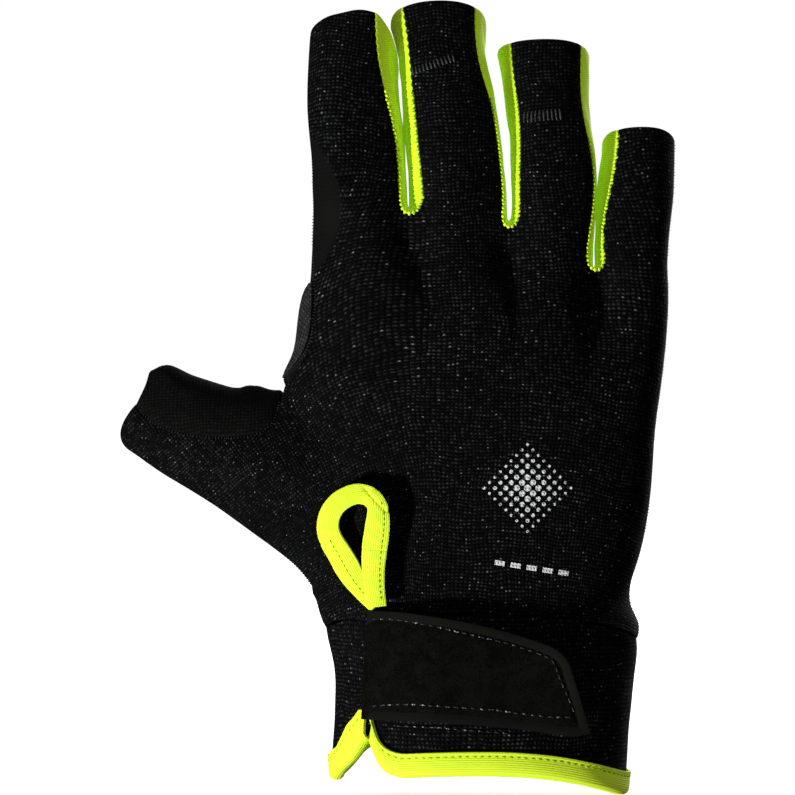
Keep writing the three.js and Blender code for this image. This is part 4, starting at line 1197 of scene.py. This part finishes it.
def nap(name, dark, light, grain, streak, relief, dots=None, margin=None):
    """Microfibre suede, sanded to a short nap: no gloss, a fine grain and soft brushed patches. Dots are
    pressed in as a grid, and a raised margin outside a seam is painted a little lighter, a painted
    highlight."""
    material, tree, shader = start_material(name)
    place = add(tree, "TexCoord").outputs["Object"]
    fine = add(tree, "TexNoise", {"Vector": place, "Scale": 1000 / grain, "Detail": 3.0})
    soft = add(tree, "TexNoise", {"Vector": place, "Scale": 1000 / streak, "Detail": 2.0,
                                            "Distortion": 0.6})
    part = add(tree, "Math", {0: fine, 1: 0.65}, operation="MULTIPLY")
    both = add(tree, "Math", {0: soft, 1: 0.35, 2: part}, operation="MULTIPLY_ADD")
    share = add(tree, "MapRange", {"Value": both, "From Min": 0.42, "From Max": 0.60})
    colour = blend(tree, share, dark, light)
    relief_height = fine
    if dots:
        wale, course, lean, tone = dots
        height, chance = stitch_grid(tree, wale, course, lean)
        drawn = add(tree, "MapRange", {"Value": chance, "To Min": 0.3, "To Max": 1.0})
        raised = add(tree, "Math", {0: height, 1: drawn}, operation="MULTIPLY")
        colour = blend(tree, raised, colour, tone)
        relief_height = add(tree, "Math", {0: fine, 1: 0.4, 2: height}, operation="MULTIPLY_ADD")
    # Painted highlight: the raised margin outside the seam is painted lighter.
    if margin:
        distance = add(tree, "SeparateXYZ", {0: add(tree, "UVMap", uv_map="edge")})
        outside = add(tree, "MapRange", {"Value": distance.outputs["X"], "From Min": STRAP_SEAM - 0.3,
                                         "From Max": STRAP_SEAM + 0.1, "To Min": 0.75, "To Max": 0.0})
        colour = blend(tree, outside, colour, margin)
    coat(tree, shader, colour, (0.7, relief * MM, relief_height),
         {"Roughness": 0.95, "IOR": 1.45, "Specular IOR Level": 0.05})
    return material


def thread(name, dark, light, glints):
    """Twisted polyester sewing thread. A few strands get painted glints: a lighter colour where they turn
    over.
    """
    material, tree, shader = start_material(name)
    place = add(tree, "TexCoord").outputs["Object"]
    strand = add(tree, "TexNoise", {"Vector": place, "Scale": 1500.0, "Detail": 2.0})
    # Painted glints: the second colour, where the noise is high.
    lit = add(tree, "MapRange", {"Value": strand, "From Min": glints, "From Max": glints + 0.12})
    coat(tree, shader, blend(tree, lit, dark, light), (0.6, 0.05 * MM, strand),
         {"Roughness": 0.55, "Specular IOR Level": 0.3})
    return material


# Strength of a glow painted into the lime cloth and tape: painted light that lifts them where they lie in
# shade.
LIME_PAINTED_GLOW = 0.10


def lime(name, bright, groove_shade_and_tone, rib, relief):
    """Lime polyester: fine ribs run along it, with painted shade between them. It is given a faint glow of
    its own, painted light that lifts it where it lies in shade."""
    material, tree, shader = start_material(name)
    cloth = add(tree, "UVMap", uv_map="cloth")
    axes = add(tree, "SeparateXYZ", {0: cloth})
    place = add(tree, "TexCoord").outputs["Object"]
    fluff = add(tree, "TexNoise", {"Vector": place, "Scale": 2500.0, "Detail": 2.0})
    uneven = add(tree, "TexNoise", {"Vector": place, "Scale": 140.0, "Detail": 2.0})
    count = add(tree, "Math", {0: axes.outputs["Y"], 1: rib}, operation="DIVIDE")
    ridge = add(tree, "Math", {0: count, 1: 0.5}, operation="PINGPONG")
    shape = add(tree, "MapRange", {"Value": ridge, "From Min": 0.02, "From Max": 0.32})
    mix = add(tree, "Math", {0: uneven, 1: 0.8, 2: shape}, operation="MULTIPLY_ADD")
    share = add(tree, "MapRange", {"Value": mix, "From Min": 0.15, "From Max": 1.2})
    rough = add(tree, "Math", {0: fluff, 1: 0.3, 2: shape}, operation="MULTIPLY_ADD")
    # The colour runs from painted shade between the ribs, and in soft random patches, to the lime on the
    # ribs.
    coat(tree, shader, blend(tree, share, groove_shade_and_tone, bright), (0.6, relief * MM, rough),
         {"Roughness": 0.7, "Specular IOR Level": 0.2, "Sheen Weight": 0.03,
          "Emission Color": linear("#c6e03a"), "Emission Strength": LIME_PAINTED_GLOW})
    return material


back_knit = knit("knitted_polyester_back", 1.02, 0.92, 0.35, 0.28, printed=True)
cuff_knit = knit("rib_knitted_cuff", 0.72, 1.05, 0.2, 0.3)
palm_suede = nap("microfibre_suede_palm", "#0a0a0a", "#1b1b19", 0.35, 5.0, 0.08)
thumb_suede = nap("microfibre_suede_thumb", "#040404", "#0c0c0b", 0.35, 5.0, 0.1,
                  dots=(0.9, 0.9, 0.6, "#1e1e1d"))
# The strap's margin colour is a painted highlight on its raised rim.
strap_suede = nap("microfibre_suede_strap", "#020201", "#0e0e0a", 0.30, 4.0, 0.07, margin="#141411")
grip_suede = nap("embossed_grip_suede", "#121212", "#212122", 0.4, 4.0, 0.1, dots=(1.0, 1.0, 1.0, "#484849"))
# Each lime's second colour is painted shade between its ribs, and the tone of its darker patches.
lime_cloth = lime("lime_jersey", "#d2fa1e", "#a9d90c", 0.55, 0.06)
lime_tape = lime("ribbed_lime_tape", "#dcf530", "#b4dc1c", 0.5, 0.14)
hook_pad = nap("moulded_hook_pad", "#0c0c0c", "#1c1c1c", 0.6, 3.0, 0.2)
# Each thread's second colour is its painted glint.
black_thread = thread("black_sewing_thread", "#0e0e0e", "#9b9da0", 0.56)
seam_thread = thread("black_overlock_thread", "#050506", "#1f2022", 0.5)
lime_thread = thread("lime_sewing_thread", "#8fc00a", "#c9ee1e", 0.5)
overlock_thread = thread("lime_overlock_thread", "#b7ea12", "#e2ff3a", 0.45)
mark_thread = thread("grey_bar_thread", "#131416", "#3f4043", 0.42)


def dress(piece, material, slot):
    piece.data.materials.clear()
    piece.data.materials.append(material)
    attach(piece, "root")


# Walls and finishes

lime_seams = [line for wall in walls for other in (back, palm)
              for line in shared_seam(wall, other, SEAM_REACH)]
dark_seams = shared_seam(gusset, back, SEAM_REACH) + shared_seam(palm, back, SEAM_REACH)
patch_edge = max(shared_seam(patch, patch, 0.1 * MM), key=line_length)

face_outwards(binding, lambda place: Vector((place.x, place.y, 0)))

# Each sheet's wall, the rounding of its rim in mm, its material and slot, and the node that it stands for
SHEETS = [
    (back, KNIT_WALL, 0.25, back_knit, "black_knit", "back_panel"),
    (palm, SUEDE_WALL, 0.25, palm_suede, "black_suede", "palm_panel"),
    (gusset, SUEDE_WALL, 0.25, thumb_suede, "black_suede", "thumb_gusset"),
    (cuff, CUFF_WALL, 0.25, cuff_knit, "rib_knit", "cuff"),
    (patch, SUEDE_WALL, 0.25, grip_suede, "grip_suede", "palm_patch"),
    (strap, STRAP_WALL, 0.35, strap_suede, "strap_suede", "wrist_strap"),
    (binding, TAPE_WALL, 0.3, lime_tape, "lime_tape", "cuff_binding"),
    (loop_left, LOOP_WALL, 0.35, lime_tape, "lime_tape", "pull_loop"),
    (loop_right, LOOP_WALL, 0.35, lime_tape, "lime_tape", "pull_loop"),
    (walls[0], LIME_WALL, 0.2, lime_cloth, "lime_cloth", "fourchette_index_middle"),
    (walls[1], LIME_WALL, 0.2, lime_cloth, "lime_cloth", "fourchette_middle_ring"),
    (walls[2], LIME_WALL, 0.2, lime_cloth, "lime_cloth", "fourchette_ring_little"),
]
for piece, wall, rim, material, slot, node in SHEETS:
    thicken(piece, wall, rim * MM, outwards=piece in (binding, loop_left, loop_right))
    dress(piece, material, slot)
    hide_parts(node)

shell = feel(back, palm, gusset, cuff, *walls)
on_strap = feel(strap)
on_patch = feel(patch)
patch_middle = sum(patch_edge, Vector()) / len(patch_edge)
patch_inset = [place + (patch_middle - place).normalized() * 1.5 * MM for place in patch_edge]


def lower_part(line, share):
    """The part of a seam round a finger gap in which its stitches show, up from the foot of the gap."""
    low, high = (limit(place.z for place in line) for limit in (min, max))
    return [place for place in line if place.z < low + share * (high - low)]


def loop_seam(place, across, start, end):
    """A line along the loop's tape, from one share of its length to another, just over its face."""
    over = Vector((0, -1.2 * MM, 0))
    return [place(start + (end - start) * step / 40, across) + over for step in range(41)]


CROSSWISE = math.radians(90)
# Each row's name, line and surface, pitch, length and thickness in mm, turn, material, slot and node
rows = [
    ("strap_stitches_top", trace(on_strap, [(371, 616), (396, 616), (428, 621), (472, 631), (504, 638.5),
                                            (539, 650), (550, 656), (556, 671), (567, 697), (571, 707)]),
     on_strap, 2.1, 1.5, 0.42, 0, black_thread, "strap_suede", "wrist_strap"),
    ("strap_stitches_foot", trace(on_strap, [(371, 702), (407, 699), (450, 701), (493, 704), (537, 710),
                                             (569, 711)]),
     on_strap, 2.1, 1.5, 0.42, 0, black_thread, "strap_suede", "wrist_strap"),
    ("cuff_stitches", trace(skin, [(396, 721.5), (430, 722), (470, 725), (508, 728)]),
     skin, 2.1, 1.4, 0.4, 0, black_thread, "rib_knit", "cuff"),
    ("binding_stitches", binding_seam, feel(binding), 1.8, 1.2, 0.36, 0,
     lime_thread, "lime_tape", "cuff_binding"),
    ("loop_stitches_left", loop_seam(left_place, 0.62, 0.1, 0.5), feel(loop_left), 1.4, 0.95, 0.3, 0,
     lime_thread, "lime_tape", "pull_loop"),
    ("loop_stitches_right", loop_seam(right_place, 0.74, 0.1, 0.95), feel(loop_right), 1.4, 0.95, 0.3, 0,
     lime_thread, "lime_tape", "pull_loop"),
    ("patch_stitches", patch_inset, on_patch, 1.8, 1.3, 0.34, 0, seam_thread, "grip_suede", "palm_patch"),
    ("bar_marks_middle", trace(skin, [(412, 71), (434, 63.5), (455, 57)]), skin, 1.0, 2.3, 0.5, CROSSWISE,
     mark_thread, "black_knit", "back_panel"),
    ("bar_marks_ring", trace(skin, [(523, 117), (542, 115.5), (562, 114)]), skin, 1.0, 3.2, 0.5, CROSSWISE,
     mark_thread, "black_knit", "back_panel"),
]
for number, line in enumerate(lime_seams):
    rows.append((f"lime_overlock_{number}", lower_part(line, 0.6), shell, 1.1, 0.8, 0.8, CROSSWISE,
                 overlock_thread, "lime_cloth", None))
for number, line in enumerate(dark_seams):
    rows.append((f"dark_overlock_{number}", line, shell, 0.8, 0.8, 0.28, CROSSWISE,
                 seam_thread, "black_knit", None))
for name, line, surface, pitch, length, width, turn, material, slot, node in rows:
    row = sew_row(name, line, surface, pitch, length, width, turn)
    dress(row, material, slot)
    if node:
        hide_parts(node)

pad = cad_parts["strap_fastener"]
for slot in pad.material_slots:
    slot.material = hook_pad

for piece in [back, palm, gusset, cuff, patch, strap, binding] + walls:
    declare_sheet(piece)


# Floor, backdrop and light

def set_stage():
    """A pale floor that lightens with distance, so that it runs on into the background."""
    bpy.ops.mesh.primitive_plane_add(size=60, location=(0, 0, cad_low.z - 0.3 * MM))
    floor = bpy.context.object
    floor.name = "floor"
    bpy.ops.object.transform_apply(location=True, rotation=False, scale=False)
    material, tree, shader = start_material("painted_floor")
    place = add(tree, "TexCoord").outputs["Object"]
    away = add(tree, "VectorMath", {0: place}, operation="LENGTH")
    glow = add(tree, "MapRange", {"Value": away.outputs["Value"], "From Min": 0.3, "From Max": 1.2,
                                            "To Min": 0.75, "To Max": 1.1})
    shader.inputs["Base Color"].default_value = linear("#f2f2f0")
    shader.inputs["Roughness"].default_value = 0.9
    shader.inputs["Emission Color"].default_value = linear("#ffffff")
    tree.links.new(glow.outputs[0], shader.inputs["Emission Strength"])
    floor.data.materials.append(material)
    floor.visible_shadow = False
    floor.visible_diffuse = False
    floor.visible_glossy = False


# Name, place and width in metres, and power in watts of the lamps, which all point at the goal
LAMPS = [
    ("key", (-0.95, -0.66, -0.50), 0.10, 26.0),
    ("fill", (0.6, -0.9, 0.9), 0.9, 3.0),
    ("top", (-0.2, 0.3, 1.4), 1.2, 5.0),
    ("palm", (0.5, 1.1, 0.5), 1.2, 14.0),
]
LAMP_GOAL = Vector((-0.02, 0, 0.09))


def set_light():
    """Round lamps in a dim white room, which the camera sees as a bright one."""
    world = bpy.data.worlds.new("studio")
    world.use_nodes = True
    tree = world.node_tree
    tree.nodes.clear()
    path = add(tree, "LightPath")
    soft = add(tree, "Background", {"Color": linear("#ffffff"), "Strength": 0.06})
    plain = add(tree, "Background", {"Color": linear("#ffffff"), "Strength": 1.0})
    both = add(tree, "MixShader", {0: path.outputs["Is Camera Ray"], 1: soft, 2: plain})
    add(tree, "OutputWorld", {"Surface": both})
    bpy.context.scene.world = world
    for name, place, size, power in LAMPS:
        lamp = bpy.data.lights.new(name, "AREA")
        lamp.shape = "DISK"
        lamp.size = size
        lamp.energy = power
        item = bpy.data.objects.new(name, lamp)
        item.location = place
        item.rotation_euler = (LAMP_GOAL - Vector(place)).to_track_quat("-Z", "Y").to_euler()
        bpy.context.scene.collection.objects.link(item)
    bpy.context.scene.view_settings.view_transform = "Standard"


set_stage()
set_light()
